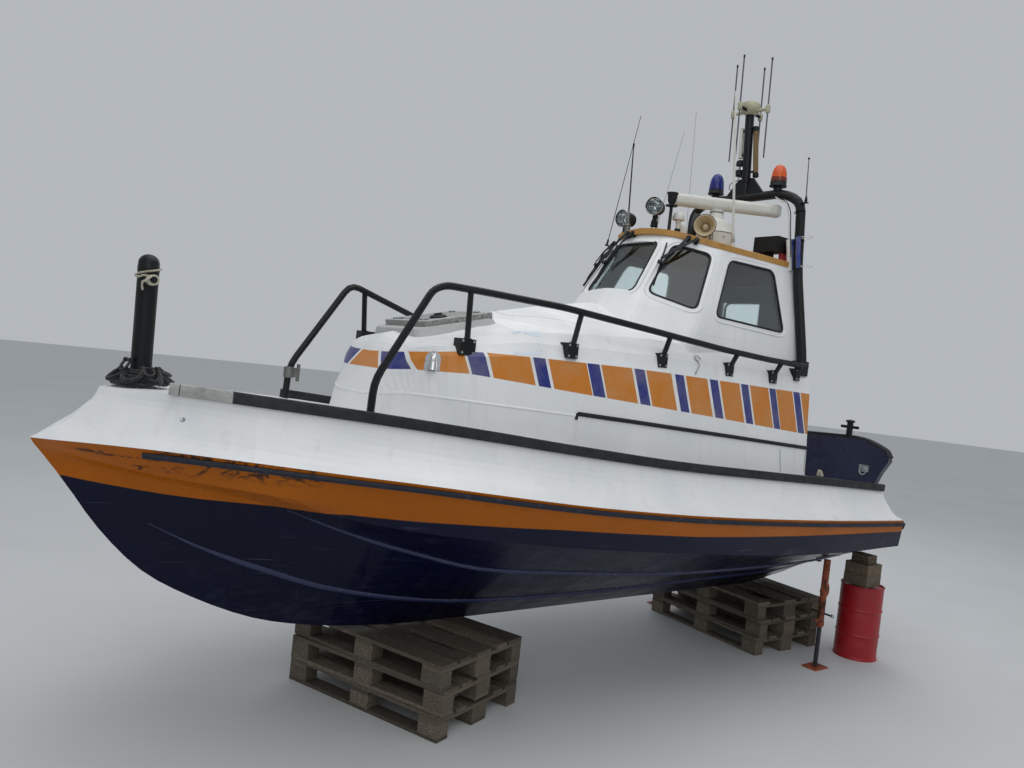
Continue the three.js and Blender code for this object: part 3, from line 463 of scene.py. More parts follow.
def shade_smooth_cad():
    """Rounds the shading of the CAD nodes without touching their points."""
    group = bpy.data.node_groups.new("smooth_by_angle", "GeometryNodeTree")
    group.interface.new_socket("Geometry", in_out="INPUT", socket_type="NodeSocketGeometry")
    group.interface.new_socket("Geometry", in_out="OUTPUT", socket_type="NodeSocketGeometry")
    new = group.nodes.new
    start, end = new("NodeGroupInput"), new("NodeGroupOutput")
    faces, edges = new("GeometryNodeSetShadeSmooth"), new("GeometryNodeSetShadeSmooth")
    angle, less = new("GeometryNodeInputMeshEdgeAngle"), new("FunctionNodeCompare")
    faces.domain, edges.domain = "FACE", "EDGE"
    less.data_type, less.operation = "FLOAT", "LESS_THAN"
    less.inputs[1].default_value = math.radians(32)
    link = group.links.new
    link(start.outputs[0], faces.inputs[0])
    link(faces.outputs[0], edges.inputs[0])
    link(angle.outputs[0], less.inputs[0])
    link(less.outputs[0], edges.inputs["Shade Smooth"])
    link(edges.outputs[0], end.inputs[0])
    for name, obj in NODES.items():
        obj.modifiers.new("smooth", "NODES").node_group = group
        if name in ("hull", "topsides", "trunk", "wheelhouse", "roof"):
            even = obj.modifiers.new("even", "WEIGHTED_NORMAL")
            even.keep_sharp, even.weight = True, 60


shade_smooth_cad()


# Materials
WHITE, WHITE2 = "e9eaea", "dcdedf"

# The lower edge of the orange band and where the gunwale's rubber turns grey, in metres
BAND_EDGE = [(-2.9, 1.115), (-2.056, 1.134), (-1.396, 1.145), (-0.819, 1.161), (-0.315, 1.179),
             (0.293, 1.216), (0.805, 1.248), (1.227, 1.263), (1.599, 1.274), (1.94, 1.294), (2.209, 1.279),
             (2.54, 1.289), (2.7, 1.302), (2.842, 1.32), (2.971, 1.34), (3.056, 1.355), (3.132, 1.37)]
WORN_FROM = 2.514

# Torn places on the band: x from, to, z from, to, depth of tone
SCARS = [(3.07, 3.13, 1.517, 1.529, 0.7), (3.01, 3.09, 1.512, 1.527, 0.85), (2.82, 3.03, 1.505, 1.514, 0.95),
         (2.825, 2.885, 1.462, 1.470, 0.85), (2.845, 2.862, 1.446, 1.466, 0.9),
         (2.715, 2.775, 1.465, 1.473, 0.85), (2.735, 2.752, 1.446, 1.470, 0.9)]


def hull_paint_shaded_band():
    s = Shade("hull_paint_shaded_band", 0.4, Coat_Weight=0.04, Coat_Roughness=0.2, Specular_IOR_Level=0.16)
    x, _, z = s.axes()
    edge = s.line(x, BAND_EDGE)
    above = s.fit(s.math("SUBTRACT", z, edge), -0.002, 0.002)
    clouds = s.noise(1.6, 5, 0.6, (0.4, 1, 1), 0.5)
    navy = s.mix(s.fit(clouds, 0.35, 0.7), rgb("050a24"), rgb("090f30"))
    # The band's orange is darker and browner than the cabin stripe's orange: painted shade, because the band
    # faces down and out.
    band = s.mix(s.fit(clouds, 0.3, 0.7), rgb("b46206"), rgb("a05404"))
    streaks = s.fit(s.noise(9, 6, 0.7, (1, 1, 0.12)), 0.55, 0.8, 0.0, 0.5)
    band = s.mix(s.times(streaks, 0.5), band, rgb("7d460c"))
    low = s.fit(z, 0.45, 1.0, 0.55, 0.05)
    scum = s.times(s.fit(s.noise(14, 7, 0.7, (0.5, 1, 1), 0.6), 0.5, 0.75), low)
    navy = s.mix(scum, navy, rgb("3b4250"))
    col = s.mix(above, navy, band)
    torn = s.times(s.inside(x, 2.13, 2.82, 0.02), s.fit(z, 1.425, 1.47),
                   s.fit(s.noise(7, 7, 0.75, (1, 1, 2.2), 1.2), 0.5, 0.56))
    col = s.mix(torn, col, rgb("4a2b17"))
    rugged = s.fit(s.noise(38, 5, 0.7), 0.42, 0.52)
    for x0, x1, z0, z1, deep in SCARS:
        mark = s.times(s.inside(x, x0, x1, 0.006), s.inside(z, z0, z1, 0.003), rugged, deep)
        col = s.mix(mark, col, rgb("26150f"))
    scratch = s.times(s.fit(s.noise(3.5, 2, 0.5, (0.6, 1, 26), 0.1, (0.0, 0.12, 0.0)), 0.66, 0.7),
                      s.fit(s.noise(2.2, 3), 0.5, 0.6))
    col = s.mix(s.times(scratch, 0.5), col, rgb("4f5566"))
    s.put("Base Color", col)
    s.put("Roughness", s.fit(s.noise(6, 5, 0.65, (0.5, 1, 1), 0.4), 0.3, 0.75, 0.16, 0.42))
    s.bump(s.noise(1.9, 2, 0.5), 0.25, 0.006)
    return s.mat


def white_paint(name="white_gelcoat", grime=0.25, stripes=False):
    s = Shade(name, 0.4, Coat_Weight=0.1, Coat_Roughness=0.25)
    clouds = s.fit(s.noise(1.4, 5, 0.62, (1, 1, 0.7), 0.5), 0.35, 0.7)
    col = s.mix(clouds, rgb(WHITE), rgb(WHITE2))
    runs = s.times(s.fit(s.noise(10, 6, 0.68, (1, 1, 0.07)), 0.56, 0.8), grime)
    col = s.mix(runs, col, rgb("9a978c"))
    specks = s.fit(s.noise(60, 4, 0.8), 0.69, 0.78, 0.0, 0.45)
    col = s.mix(specks, col, rgb("8d8a80"))
    if stripes:
        col = stripe_band(s, col)
    s.put("Base Color", col)
    s.put("Roughness", s.fit(s.noise(5, 5, 0.6), 0.3, 0.7, 0.34, 0.46))
    s.bump(s.noise(2.6, 2, 0.5), 0.15, 0.004)
    return s.mat


# Where the band's two ramps meet, and where it turns round the trunk's front, in metres
SWITCH, BAND_AFT, BAND_FRONT, NOSE_FROM = -0.27, -1.9, 1.6, 1.535

# Blocks of the stripe along the cabin: colour, forward end and aft end at the band's top edge, in metres
BLOCKS = [("o", 1.6, 1.311), ("b", 1.296, 1.187), ("o", 1.169, 0.889), ("b", 0.869, 0.776),
          ("o", 0.755, 0.470), ("b", 0.462, 0.369), ("o", 0.352, 0.102), ("b", 0.076, -0.011),
          ("o", -0.028, -0.255), ("b", -0.283, -0.369), ("o", -0.388, -0.595), ("b", -0.625, -0.707),
          ("o", -0.727, -0.933), ("b", -0.956, -1.036), ("o", -1.059, -1.273), ("b", -1.285, -1.359),
          ("o", -1.371, -1.574), ("b", -1.587, -1.665), ("o", -1.678, -1.850)]

# The same round the front, by the distance from the middle
NOSE = [(0.0, "o"), (0.105, "w"), (0.135, "b"), (0.352, "w"), (0.385, "o")]
STRIPE = {"o": rgb("c97708"), "b": rgb("0f2478"), "w": rgb("e4e5e6")}


def stripe_band(s, col):
    x, y, z = s.axes()
    top = s.line(x, [(-1.815, 2.158), (-1.28, 2.168), (-0.93, 2.176), (-0.25, 2.189), (0.1, 2.194),
                     (0.87, 2.189), (1.17, 2.184), (1.311, 2.176), (1.53, 2.142), (1.6, 2.116)])
    low = s.line(x, [(-1.75, 1.851), (-1.03, 1.901), (-0.684, 1.925), (-0.32, 1.949), (0.04, 1.974),
                     (0.42, 1.998), (0.83, 2.026), (1.147, 2.048), (1.28, 2.056), (1.53, 2.046),
                     (1.61, 2.028)])
    slant = s.math("ADD", x, s.math("MULTIPLY", s.math("SUBTRACT", 2.19, z), 0.30))

    def blocks(lo, hi):
        stops = [(0.0, STRIPE["w"])]
        for kind, front, aft in reversed([b for b in BLOCKS if lo <= b[2] < hi]):
            stops += [((aft - lo) / (hi - lo), STRIPE[kind]), (min(1.0, (front - lo) / (hi - lo)),
                                                               STRIPE["w"])]
        return s.ramp(s.fit(slant, lo, hi), stops, "CONSTANT")

    aft, fore = blocks(BAND_AFT, SWITCH), blocks(SWITCH, BAND_FRONT)
    side = s.mix(s.math("GREATER_THAN", slant, SWITCH), aft, fore)
    across = s.math("SUBTRACT", s.math("ABSOLUTE", y), s.math("MULTIPLY", s.math("SUBTRACT", 2.12, z), 0.9))
    nose = s.ramp(across, [(p, STRIPE[k]) for p, k in NOSE], "CONSTANT")
    both = s.mix(s.math("GREATER_THAN", slant, NOSE_FROM), side, nose)
    faded = s.mix(s.fit(s.noise(5, 6, 0.7), 0.4, 0.75, 0.0, 0.3), both, rgb("b9a98d"))
    return s.mix(s.inside(z, low, top, 0.0015), col, faded)


def glass(name, tint, rough=0.03):
    s = Shade(name, rough, IOR=1.45)
    s.put("Base Color", rgb(tint))
    s.put("Transmission Weight", 1.0)
    s.put("Roughness", s.fit(s.noise(4, 4, 0.6), 0.3, 0.8, rough, rough + 0.05))
    return s.mat


def weathered_wood(name="weathered_wood", pale="b3a797", dark="4c4238", along=(26, 3.5, 26)):
    s = Shade(name, 0.85)
    tone = s.node("Attribute", attribute_name="tone").outputs["Fac"]
    grain = s.noise(5, 8, 0.7, along, 0.5)
    fine = s.noise(30, 5, 0.8, [v * 0.46 for v in along], 0.2)
    col = s.ramp(grain, [(0.25, rgb(dark)), (0.5, rgb("6b6153")), (0.8, rgb(pale))])
    col = s.mix(s.fit(fine, 0.35, 0.7, 0.0, 0.55), col, rgb("57503f"))
    col = s.mix(s.fit(tone, 0.0, 1.0, 0.0, 0.65), col, rgb("2d2822"))
    moss = s.fit(s.noise(3.2, 6, 0.7), 0.6, 0.74, 0.0, 0.25)
    col = s.mix(moss, col, rgb("3f4436"))
    s.put("Base Color", col)
    s.put("Roughness", s.fit(fine, 0.2, 0.8, 0.7, 0.95))
    rough = s.bump(grain, 0.6, 0.004)
    s.bump(fine, 0.5, 0.002, rough)
    return s.mat


def chipped(name, paint, shade, bare, rough=0.45, scale=6.0, amount=0.62, metal=0.0):
    """Paint over steel, chipped to rust in patches and along lines of wear."""
    s = Shade(name, rough, metal)
    col = s.mix(s.fit(s.noise(scale * 0.5, 5), 0.35, 0.7), rgb(paint), rgb(shade))
    chips = s.fit(s.noise(scale, 9, 0.72, (1, 1, 0.8), 0.6), amount, amount + 0.03)
    halo = s.fit(s.noise(scale, 9, 0.72, (1, 1, 0.8), 0.6), amount - 0.07, amount, 0.0, 0.55)
    col = s.mix(halo, col, rgb(bare))
    rust = s.mix(s.noise(60, 5, 0.7), rgb(bare), rgb("2a1712"))
    s.put("Base Color", s.mix(chips, col, rust))
    s.put("Roughness", s.fit(chips, 0.0, 1.0, rough, 0.9))
    a = s.bump(chips, 0.5, 0.0012)
    s.bump(s.noise(90, 4, 0.7), 0.2, 0.001, a)
    return s.mat


def brushed(name, colour, second, rough=0.3):
    s = Shade(name, rough, 1.0)
    col = s.mix(s.fit(s.noise(8, 5, 0.6), 0.35, 0.7), rgb(colour), rgb(second))
    spots = s.fit(s.noise(45, 6, 0.75), 0.62, 0.75, 0.0, 0.5)
    s.put("Base Color", s.mix(spots, col, rgb("6e6a62")))
    s.put("Roughness", s.fit(s.noise(25, 4, 0.6, (1, 1, 6)), 0.3, 0.7, rough - 0.1, rough + 0.15))
    s.bump(s.noise(120, 3, 0.6, (1, 1, 5)), 0.12, 0.0008)
    return s.mat


def gunwale_rubber():
    s = Shade("gunwale_rubber", 0.6)
    worn = s.math("GREATER_THAN", s.axes()[0], WORN_FROM)
    black = s.mix(s.fit(s.noise(12, 6, 0.7, (0.3, 1, 1)), 0.4, 0.75), rgb("111216"), rgb("2b2c31"))
    grey = s.mix(s.fit(s.noise(16, 8, 0.75, (0.5, 1, 1)), 0.35, 0.7), rgb("b4b4b0"), rgb("8a8a86"))
    s.put("Base Color", s.mix(worn, black, grey))
    s.put("Roughness", s.fit(s.noise(20, 5), 0.3, 0.7, 0.5, 0.8))
    s.bump(s.noise(70, 5, 0.7, (0.4, 1, 1)), 0.35, 0.0015)
    return s.mat


def nonslip(name, light, dark):
    s = Shade(name, 0.75)
    grit = s.noise(150, 3, 0.7)
    col = s.mix(s.fit(grit, 0.42, 0.58), rgb(dark), rgb(light))
    col = s.mix(s.fit(s.noise(7, 6, 0.7), 0.5, 0.75, 0.0, 0.45), col, rgb("77756c"))
    s.put("Base Color", col)
    s.bump(grit, 0.6, 0.002)
    return s.mat


def vinyl(name, colour, second):
    s = Shade(name, 0.5)
    cells = s.cells(420)
    s.put("Base Color", s.mix(s.fit(s.noise(6, 4), 0.3, 0.7), rgb(colour), rgb(second)))
    s.put("Roughness", s.fit(s.noise(9, 4), 0.3, 0.7, 0.42, 0.6))
    s.bump(cells, 0.25, 0.0008)
    return s.mat


def woven(name, colour, second, scale=900):
    s = Shade(name, 0.85, Sheen_Weight=0.25)
    a = s.noise(scale, 1, 0.5, (1, 0.1, 0.1))
    b = s.noise(scale, 1, 0.5, (0.1, 0.1, 1))
    s.put("Base Color", s.mix(s.fit(s.noise(8, 5), 0.3, 0.7), rgb(colour), rgb(second)))
    s.bump(s.math("ADD", a, b), 0.3, 0.0006)
    return s.mat


def flag_cloth():
    s = Shade("flag_cloth", 0.8, Sheen_Weight=0.3)
    u = s.node("Attribute", attribute_name="tone").outputs["Fac"]
    col = s.ramp(u, [(0.0, rgb("223a86")), (0.333, rgb("d5d3cf")), (0.666, rgb("a3212d"))], "CONSTANT")
    col = s.mix(s.fit(s.noise(9, 5), 0.4, 0.75, 0.0, 0.35), col, rgb("8d8580"))
    s.put("Base Color", col)
    s.bump(s.noise(700, 2, 0.6), 0.25, 0.0006)
    return s.mat


HULL = hull_paint_shaded_band()
GEL = white_paint()
GEL_STRIPED = white_paint("white_gelcoat_striped", 0.25, True)
GEL_CLEAN = white_paint("white_mouldings", 0.12)
OCHRE = vary("ochre_paint", "bd8d45", "a97a3a", 0.5, 4, dirt="6e4a2c", dirt_amount=0.7, grain=90).mat
BLACK = vary("black_paint", "08090b", "111216", 0.42, 3, grain=260, bump=0.1, dirt="3c3d41", dirt_amount=0.15,
             Specular_IOR_Level=0.3).mat
SATIN = vary("black_plastic", "0a0b0d", "15171a", 0.55, 5, grain=320, bump=0.2, dirt="4a4b4f",
             dirt_amount=0.15, Specular_IOR_Level=0.35).mat
RUBBER = vary("black_rubber", "08090b", "131417", 0.68, 5, grain=140, bump=0.25, dirt="4d4e50",
              dirt_amount=0.35, stretch=(0.4, 1, 1)).mat
KNUCKLE = vary("navy_rubber", "080b1c", "10152b", 0.6, 5, grain=140, bump=0.3, dirt="565a66", dirt_amount=0.5,
               stretch=(0.4, 1, 1)).mat
GUNWALE = gunwale_rubber()
STEEL = brushed("stainless", "b9bcbe", "9fa3a6", 0.26)
CHROME = brushed("polished_chrome", "d3d5d6", "c1c4c6", 0.14)
GALV = brushed("dull_metal", "80817e", "696a68", 0.45)
PANE = glass("tinted_glass", "ccd5d6")
CLEAR = glass("clear_lens", "e8ecec", 0.05)
NONSLIP = nonslip("nonslip_grey", "b4b5b1", "5d5e5c")
GREY = vary("grey_moulding", "b9bbb9", "a3a5a3", 0.5, 3, grain=180, dirt="77756c").mat
BULWARK = vary("navy_gelcoat", "0d1430", "1a2244", 0.35, 2.5, grain=60, bump=0.1, dirt="545b70",
               dirt_amount=0.5, Coat_Weight=0.3, Coat_Roughness=0.2).mat
CREAM = vary("cream_plastic", "c9bd9f", "b5a686", 0.45, 6, grain=200, dirt="6f5f43", dirt_amount=0.6).mat
AGED = vary("aged_white_plastic", "d5d5cf", "c6c5bd", 0.45, 4, grain=220, dirt="8a7f6c", dirt_amount=0.5).mat
WOOD = weathered_wood()
RED = chipped("drum_paint", "a81720", "8f141b", "5a3526", 0.42, 5.5, 0.66)
RUSTY = chipped("prop_paint", "a8512a", "8c4427", "4b2a1c", 0.7, 9, 0.55)
DARK_STEEL = chipped("worn_steel", "3a3b3d", "2b2c2e", "5a3a28", 0.5, 14, 0.6, 0.5)
ENGINE = chipped("engine_paint", "66727a", "59646b", "3c3832", 0.45, 12, 0.68)
VINYL = vinyl("navy_vinyl", "171c2c", "222941")
PIPING = vary("grey_piping", "7a7d80", "6b6e71", 0.6, 20).mat
FLAG = flag_cloth()
ROPE_BLACK = woven("black_rope_fibre", "0d0e10", "1c1d20", 500)
ROPE_LIGHT = woven("pale_rope_fibre", "c9c4b2", "a8a28f", 500)
BROWN = vary("brown_tube", "7d6338", "6b5230", 0.55, 8, dirt="3e2f1c", dirt_amount=0.6).mat
AMBER = vary("amber_lens", "d65a1c", "c04e18", 0.18, 9, bump=0.1, Subsurface_Weight=0.2).mat
AMBER_LOW = vary("amber_lens_low", "7a2c14", "5a2212", 0.2, 9, bump=0.1).mat
KHAKI = vary("khaki_plastic", "b3b097", "97947b", 0.5, 8, grain=200, dirt="5f5c48", dirt_amount=0.4).mat
DULL = vary("dull_rod", "5c5d60", "46474a", 0.45, 20, grain=200).mat
BLUE = vary("blue_lens", "16257e", "101d66", 0.18, 9, bump=0.1, Subsurface_Weight=0.1).mat
SEALANT = vary("grey_sealant", "8f908d", "7a7b79", 0.7, 30).mat
PLATE = vary("blank_plate_vinyl", "dde6ee", "d3dde7", 0.4, 9, dirt="a5a8a8", dirt_amount=0.3).mat

FINISH = {"hull": HULL, "topsides": GEL, "trunk": GEL_STRIPED, "wheelhouse": GEL, "roof": OCHRE,
          "bow_post": BLACK, "arch": BLACK, "df_aerial": SATIN, "radar_pedestal": AGED,
          "radar_scanner": AGED, "loud_hailer": CREAM, "floodlight": SATIN, "hatch_frame": GREY,
          "hatch_lid": NONSLIP, "stern_bulwark": BULWARK, "stern_fender": RUBBER, "aft_door": GEL_CLEAN,
          "door_window": PANE, "engine": ENGINE, "engine_hatch": NONSLIP, "helm_console": GREY,
          "helm_wheel": SATIN, "jet_housing": GALV, "jet_nozzle": GALV, "door_lug_1": STEEL,
          "door_lug_2": STEEL, "beacon_port": AMBER, "beacon_starboard": BLUE, "seat_port": VINYL,
          "seat_starboard": VINYL, "tow_line": RUBBER, "pane_centre": PANE, "searchlight_centre": GALV,
          "searchlight_starboard": GALV,}
for side in ("port", "starboard"):
    FINISH.update({"knuckle_strip_" + side: KNUCKLE, "gunwale_strip_" + side: GUNWALE, "rail_" + side: BLACK,
                   "pane_" + side: PANE, "side_window_" + side: PANE, "whip_" + side: AGED,
                   "stern_bitt_" + side: BLACK, "drum_" + side: RED, "drum_block_" + side: WOOD,
                   "prop_" + side: RUSTY})
for stack in ("front", "rear"):
    for i in (1, 2, 3):
        FINISH[f"pallet_{stack}_{i}"] = WOOD
for name, obj in NODES.items():
    obj.data.materials.clear()
    obj.data.materials.append(FINISH[name])
for name, width in {"floodlight": 0.006, "hatch_frame": 0.004, "hatch_lid": 0.005, "engine_hatch": 0.005,
                    "radar_scanner": 0.028, "helm_console": 0.012, "aft_door": 0.004, "engine": 0.012,
                    "drum_block_port": 0.006, "drum_block_starboard": 0.006, "stern_bulwark": 0.008}.items():
    soften(NODES[name], "edges", width, 3)


# Floor and light
def stage():
    s = Shade("floor", 0.75)
    s.put("Base Color", s.mix(s.fit(s.noise(0.6, 4), 0.3, 0.7), rgb("cfd1d2"), rgb("c9cbcc")))
    bpy.ops.mesh.primitive_circle_add(vertices=96, radius=60, fill_type="NGON", location=(0, 0, 0))
    floor = bpy.context.active_object
    floor.name = "floor"
    floor.data.materials.append(s.mat)
    world = bpy.data.worlds.new("sky")
    SCENE.world = world
    world.use_nodes = True
    bg = world.node_tree.nodes["Background"]
    bg.inputs["Color"].default_value = (*rgb("dfe4e9"), 1)
    bg.inputs["Strength"].default_value = 0.62
    for name, at, size, power in (("top", (0.5, 1.0, 9.0), 9.0, 300), ("key", (5.5, 8.0, 6.0), 6.0, 130),
                                  ("back", (-7.0, -6.0, 6.0), 6.0, 90)):
        light = bpy.data.objects.new("light_" + name, bpy.data.lights.new("light_" + name, "AREA"))
        light.data.size, light.data.energy = size, power
        SCENE.collection.objects.link(light)
        light.location = at
        light.rotation_euler = (Vector((0, 0, 1.5)) - Vector(at)).to_track_quat("-Z", "Y").to_euler()
    SCENE.view_settings.view_transform = "Standard"


stage()


# Ropes and cables
def length_of(path):
    return sum((b - a).length for a, b in zip(path, path[1:]))


def laid_rope(name, points, diameter, mat, slot, turns=14.0, step=None):
    """A three-strand rope, with its path and its length."""
    path = smooth(points, step or diameter * 0.45)
    p = Piece(name).add(sweep(path, circle(diameter / 2, 12, 3, 0.22), twist=turns), mat)
    obj = p.done(slot, angle=70, weld=False)
    return obj, [tuple(q) for q in path], length_of(path)


def cable(name, points, diameter, mat, **facts):
    path = smooth(points, 0.012)
    p = Piece(name).add(sweep(path, circle(diameter / 2, 8)), mat)
    obj = p.done("black_rubber", angle=80, weld=False)


DECK = surface("topsides")


def deck_under(p):
    return DECK.ray_cast(p, DOWN)[0].z


def tow_rope():
    """The tow line, heaped like a cone round the foot of the post, its last turns thrown over the heap."""
    d, inner, heap, pts = 24, 64, 66, []

    def at(r, ang, lift=0.0):
        p = D(POST_X + r * math.cos(ang), r * math.sin(ang), 2300)
        h = heap * max(0.0, 1 - (r - inner) / 72) + d / 2 + 1 + lift * 0.7
        out = lift * 7e-4
        return Vector((p.x + out * math.cos(ang), p.y + out * math.sin(ang), deck_under(p) + h / 1000))

    for k in range(0, 1871, 15):
        a, t = math.radians(k + 30), k / 1870
        pts.append(at(inner + 68 * t + 3.5 * math.sin(2.3 * a + 1) * min(1, 6 * t), a))
    a, legs = math.radians(1900), 17
    for k in range(1, legs * 8 + 1):
        t = k / 8
        swing = 0.5 - 0.5 * math.cos(math.pi * t)
        r = 131 - (65 - 9 * math.sin(1.7 * t)) * swing
        pts.append(at(r, a + 0.46 * t + 0.16 * math.sin(math.pi * t), 23 + 5 * math.sin(2.1 * t)))
    a += 0.46 * legs
    pts += [at(78, a + 0.25, 20), at(105, a + 0.45, 14), at(130, a + 0.62, 4), at(145, a + 0.8)]
    made = laid_rope("tow_rope", pts, d / 1000, ROPE_BLACK, "rope", 11, 0.009)
    ends = [made[1][-3], made[1][-1]]
    end = Piece("tow_rope_whipping").add(sweep([Vector(q) for q in ends], circle(0.0130, 12)), SATIN)
    whip = end.done("rope")
    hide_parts("tow_line")


def bow_post():
    """The round post with its dome and its cross pin."""
    foot, top = D(POST_X, 0, 1800), D(POST_X + 13, 0, 2480)
    foot.z = deck_under(D(POST_X, 0, 2300)) - 0.004
    axis, n = (top - foot).normalized(), (top - foot).length
    p = Piece("bow_post_round")
    dome = [(0.0505 * math.cos(a), n - 0.046 + 0.046 * math.sin(a)) for a in np.linspace(0, math.pi / 2, 9)]
    shaft = [(0.05, 0), (0.05, 0.2), (0.0503, n * 0.6), (0.0508, n - 0.09), (0.052, n - 0.085),
             (0.052, n - 0.06), (0.0505, n - 0.055)]
    p.add(lathe(shaft + dome[:-1] + [(0, n)], foot, axis, 44), BLACK)
    pin = D(POST_X + 10, 0, 2350)
    end = [(0, -0.131), (0.011, -0.130), (0.0138, -0.126), (0.0138, 0.126), (0.011, 0.130), (0, 0.131)]
    p.add(lathe(end, pin, PORTWARD, 22), BLACK)
    collar = [(0.0138, 0.049), (0.019, 0.050), (0.017, 0.057), (0.0138, 0.058)]
    for m in (-1, 1):
        p.add(lathe(collar, pin, (0, m, 0), 22), BLACK)
    p.done("black_metal", angle=40, replaces=("bow_post",))


tow_rope()
bow_post()


def shackles():
    """Three shackles lying on the heap."""
    p = Piece("tow_shackles")
    for ang, r, z, tilt in ((95, 100, 1906, 35), (20, 84, 1934, 60), (150, 104, 1902, 20)):
        c = math.radians(ang)
        at = D(POST_X + r * math.cos(c), r * math.sin(c), z)
        out, side, lean = spoke(c), Vector((-math.sin(c), math.cos(c), 0)), math.radians(tilt)
        down = (out * math.cos(lean) - UP * math.sin(lean)).normalized()
        back = down * 0.018
        arc = [at + side * (0.026 * math.cos(t)) + down * (0.03 * math.sin(t) + 0.012)
               for t in np.linspace(0, math.pi, 12)]
        arc = [at + side * 0.020 - back] + arc + [at - side * 0.020 - back]
        p.add(sweep(arc, circle(0.0065, 10)), DARK_STEEL)
        p.add(rod(at + side * 0.034 - back, at - side * 0.034 - back, 0.0055), DARK_STEEL)
        eye = [(0, 0), (0.011, 0), (0.011, 0.012), (0, 0.012)]
        for s in (1, -1):
            p.add(lathe(eye, at + side * (0.014 * s) - back, side * s, 12), DARK_STEEL)
    p.done("black_metal")


shackles()


def pin_lashing():
    """A pale rope hitched round the post's head and wound tight on its cross pin."""
    x, z, pts = POST_X + 10, 2350, []
    for k in range(0, 171, 15):
        a = math.radians(150 - k)
        pts.append(D(x + 58 * math.cos(a), 58 * math.sin(a) * 0.97, z + 62 - 0.27 * k))
    pts += [D(x + 50, 40, z + 12), D(x + 36, 56, z + 20)]
    for k in range(0, 1801, 30):
        a = math.radians(60 - k)
        pts.append(D(x + 21 * math.cos(a), 62 + 12.6 * k / 360, z + 21 * math.sin(a)))
    pts += [D(x + 26, 128, z + 4), D(x + 38, 112, z - 8), D(x + 44, 92, z - 14), D(x + 42, 76, z - 30),
            D(x + 36, 70, z - 52)]
    made = laid_rope("pin_lashing", pts, 0.012, ROPE_LIGHT, "rope", 26, 0.004)


pin_lashing()


def arch_cables():
    """Two cables down the arch's leg, clipped to it."""
    for k, (dx, mat, sag) in enumerate(((38, AGED, 26), (30, RUBBER, 12))):
        rows = [(0, 330 - 20 * k, 3690), (4, 395, 3676 - sag), (6, 452 - sag * 0.5, 3630),
                (4, 492 - sag, 3560), (0, 500 - sag * 0.6, 3450), (-4, 512 - sag * 0.4, 3330),
                (-10, 524 - sag * 0.3, 3210)]
        pts = [D(ARCH_X + dx + x, y, z) for x, y, z in rows]
        cable(f"arch_cable_{k + 1}", pts, 0.010 - 0.002 * k, mat, stiffness="medium", lay="hanging")
        clips = Piece(f"arch_cable_clips_{k + 1}")
        for x, y, z in ((-1884, 540, 3560), (-1892, 555, 3330)):
            clips.add(torus(D(x, y, z), (0, -0.18, 1), 0.0405, 0.0035, 28, 6), SATIN)
        clips.done("black_metal")


arch_cables()


# Windows: the same corners as the cabin's, with gaskets and moulded frames
# Levels of the wheelhouse: height, the front's x, and the two corners of the facet beside it
HOUSE = [(2200, -60, (-150, 345), (-555, 680)), (2650, -362, (-415, 330), (-785, 615)),
         (3320, -806, (-845, 250), (-1128, 475))]


def house_at(z):
    """The front's x and the facet's two corners at a height."""
    a, b = (HOUSE[0], HOUSE[1]) if z < HOUSE[1][0] else (HOUSE[1], HOUSE[2])
    k = (z - a[0]) / (b[0] - a[0])

    def mix(p, q):
        return p + (q - p) * k

    return mix(a[1], b[1]), tuple(map(mix, a[2], b[2])), tuple(map(mix, a[3], b[3]))


def facet_point(z, k):
    _, f, s = house_at(z)
    return Vector((f[0] + (s[0] - f[0]) * k, f[1] + (s[1] - f[1]) * k, z))


def front_point(z, y):
    front, f, _ = house_at(z)
    return Vector((front + (f[0] - front) * abs(y) / f[1], y, z))


def side_point(x, z):
    return Vector((x, house_at(z)[2][1], z))


def flip(corners):
    return [Vector((c.x, -c.y, c.z)) for c in (corners[1], corners[0], corners[3], corners[2])]


FACET = [facet_point(2655, 0.9), facet_point(2745, 0.1), facet_point(3118, 0.14), facet_point(3072, 0.86)]
SIDE = [side_point(-1730, 2605), side_point(-935, 2632), side_point(-1125, 3055), side_point(-1650, 3060)]
CENTRE = [front_point(2748, 235), front_point(2748, -235), front_point(3138, -190), front_point(3138, 190)]
WINDOWS = {"centre": CENTRE, "port": FACET, "starboard": flip(FACET), "side_port": SIDE,
           "side_starboard": flip(SIDE)}

# Sections round a window: distance outwards from its edge and height over the wall, in millimetres
GASKET = [(-3, 8), (-3, -2), (1, -5), (8, -5), (12, -2), (12, 1.5)]
MOULDING = [(37, 2), (39, -2), (42.5, -3.5), (46, -2), (48, 2)]


def window_ring(corners, grow, depth, r=55, steps=6):
    """Points round a window, grown outwards and set in from the wall's face, in the row frame."""
    normal = (corners[1] - corners[0]).cross(corners[2] - corners[0]).normalized()
    mid = sum(corners, Vector()) / 4
    u = (corners[1] - corners[0]).normalized()
    w = normal.cross(u)
    flat = [Vector(((c - mid).dot(u), (c - mid).dot(w))) for c in corners]
    ring = []
    for i, p in enumerate(flat):
        a, b = (flat[(i + 3) % 4] - p).normalized(), (flat[(i + 1) % 4] - p).normalized()
        corner = p - a * grow - b * grow
        q0, q2 = corner + a * r, corner + b * r
        for k in range(steps + 1):
            t = k / steps
            ring.append(q0 * (1 - t) ** 2 + corner * (2 * t * (1 - t)) + q2 * t * t)
    return [D(*(mid + u * q.x + w * q.y + normal * depth)) for q in ring]


def window_trim():
    for name, corners in WINDOWS.items():
        gasket = Piece(f"gasket_{name}")
        gasket.add(skin([window_ring(corners, g, d, 55 + g) for g, d in GASKET], True), RUBBER)
        gasket.done("black_rubber", angle=50, weld=False)
        frame_piece = Piece(f"window_moulding_{name}")
        frame_piece.add(skin([window_ring(corners, g, d, 70 + g) for g, d in MOULDING], True), GEL_CLEAN)
        frame_piece.done("white_grp", angle=60, weld=False)


window_trim()


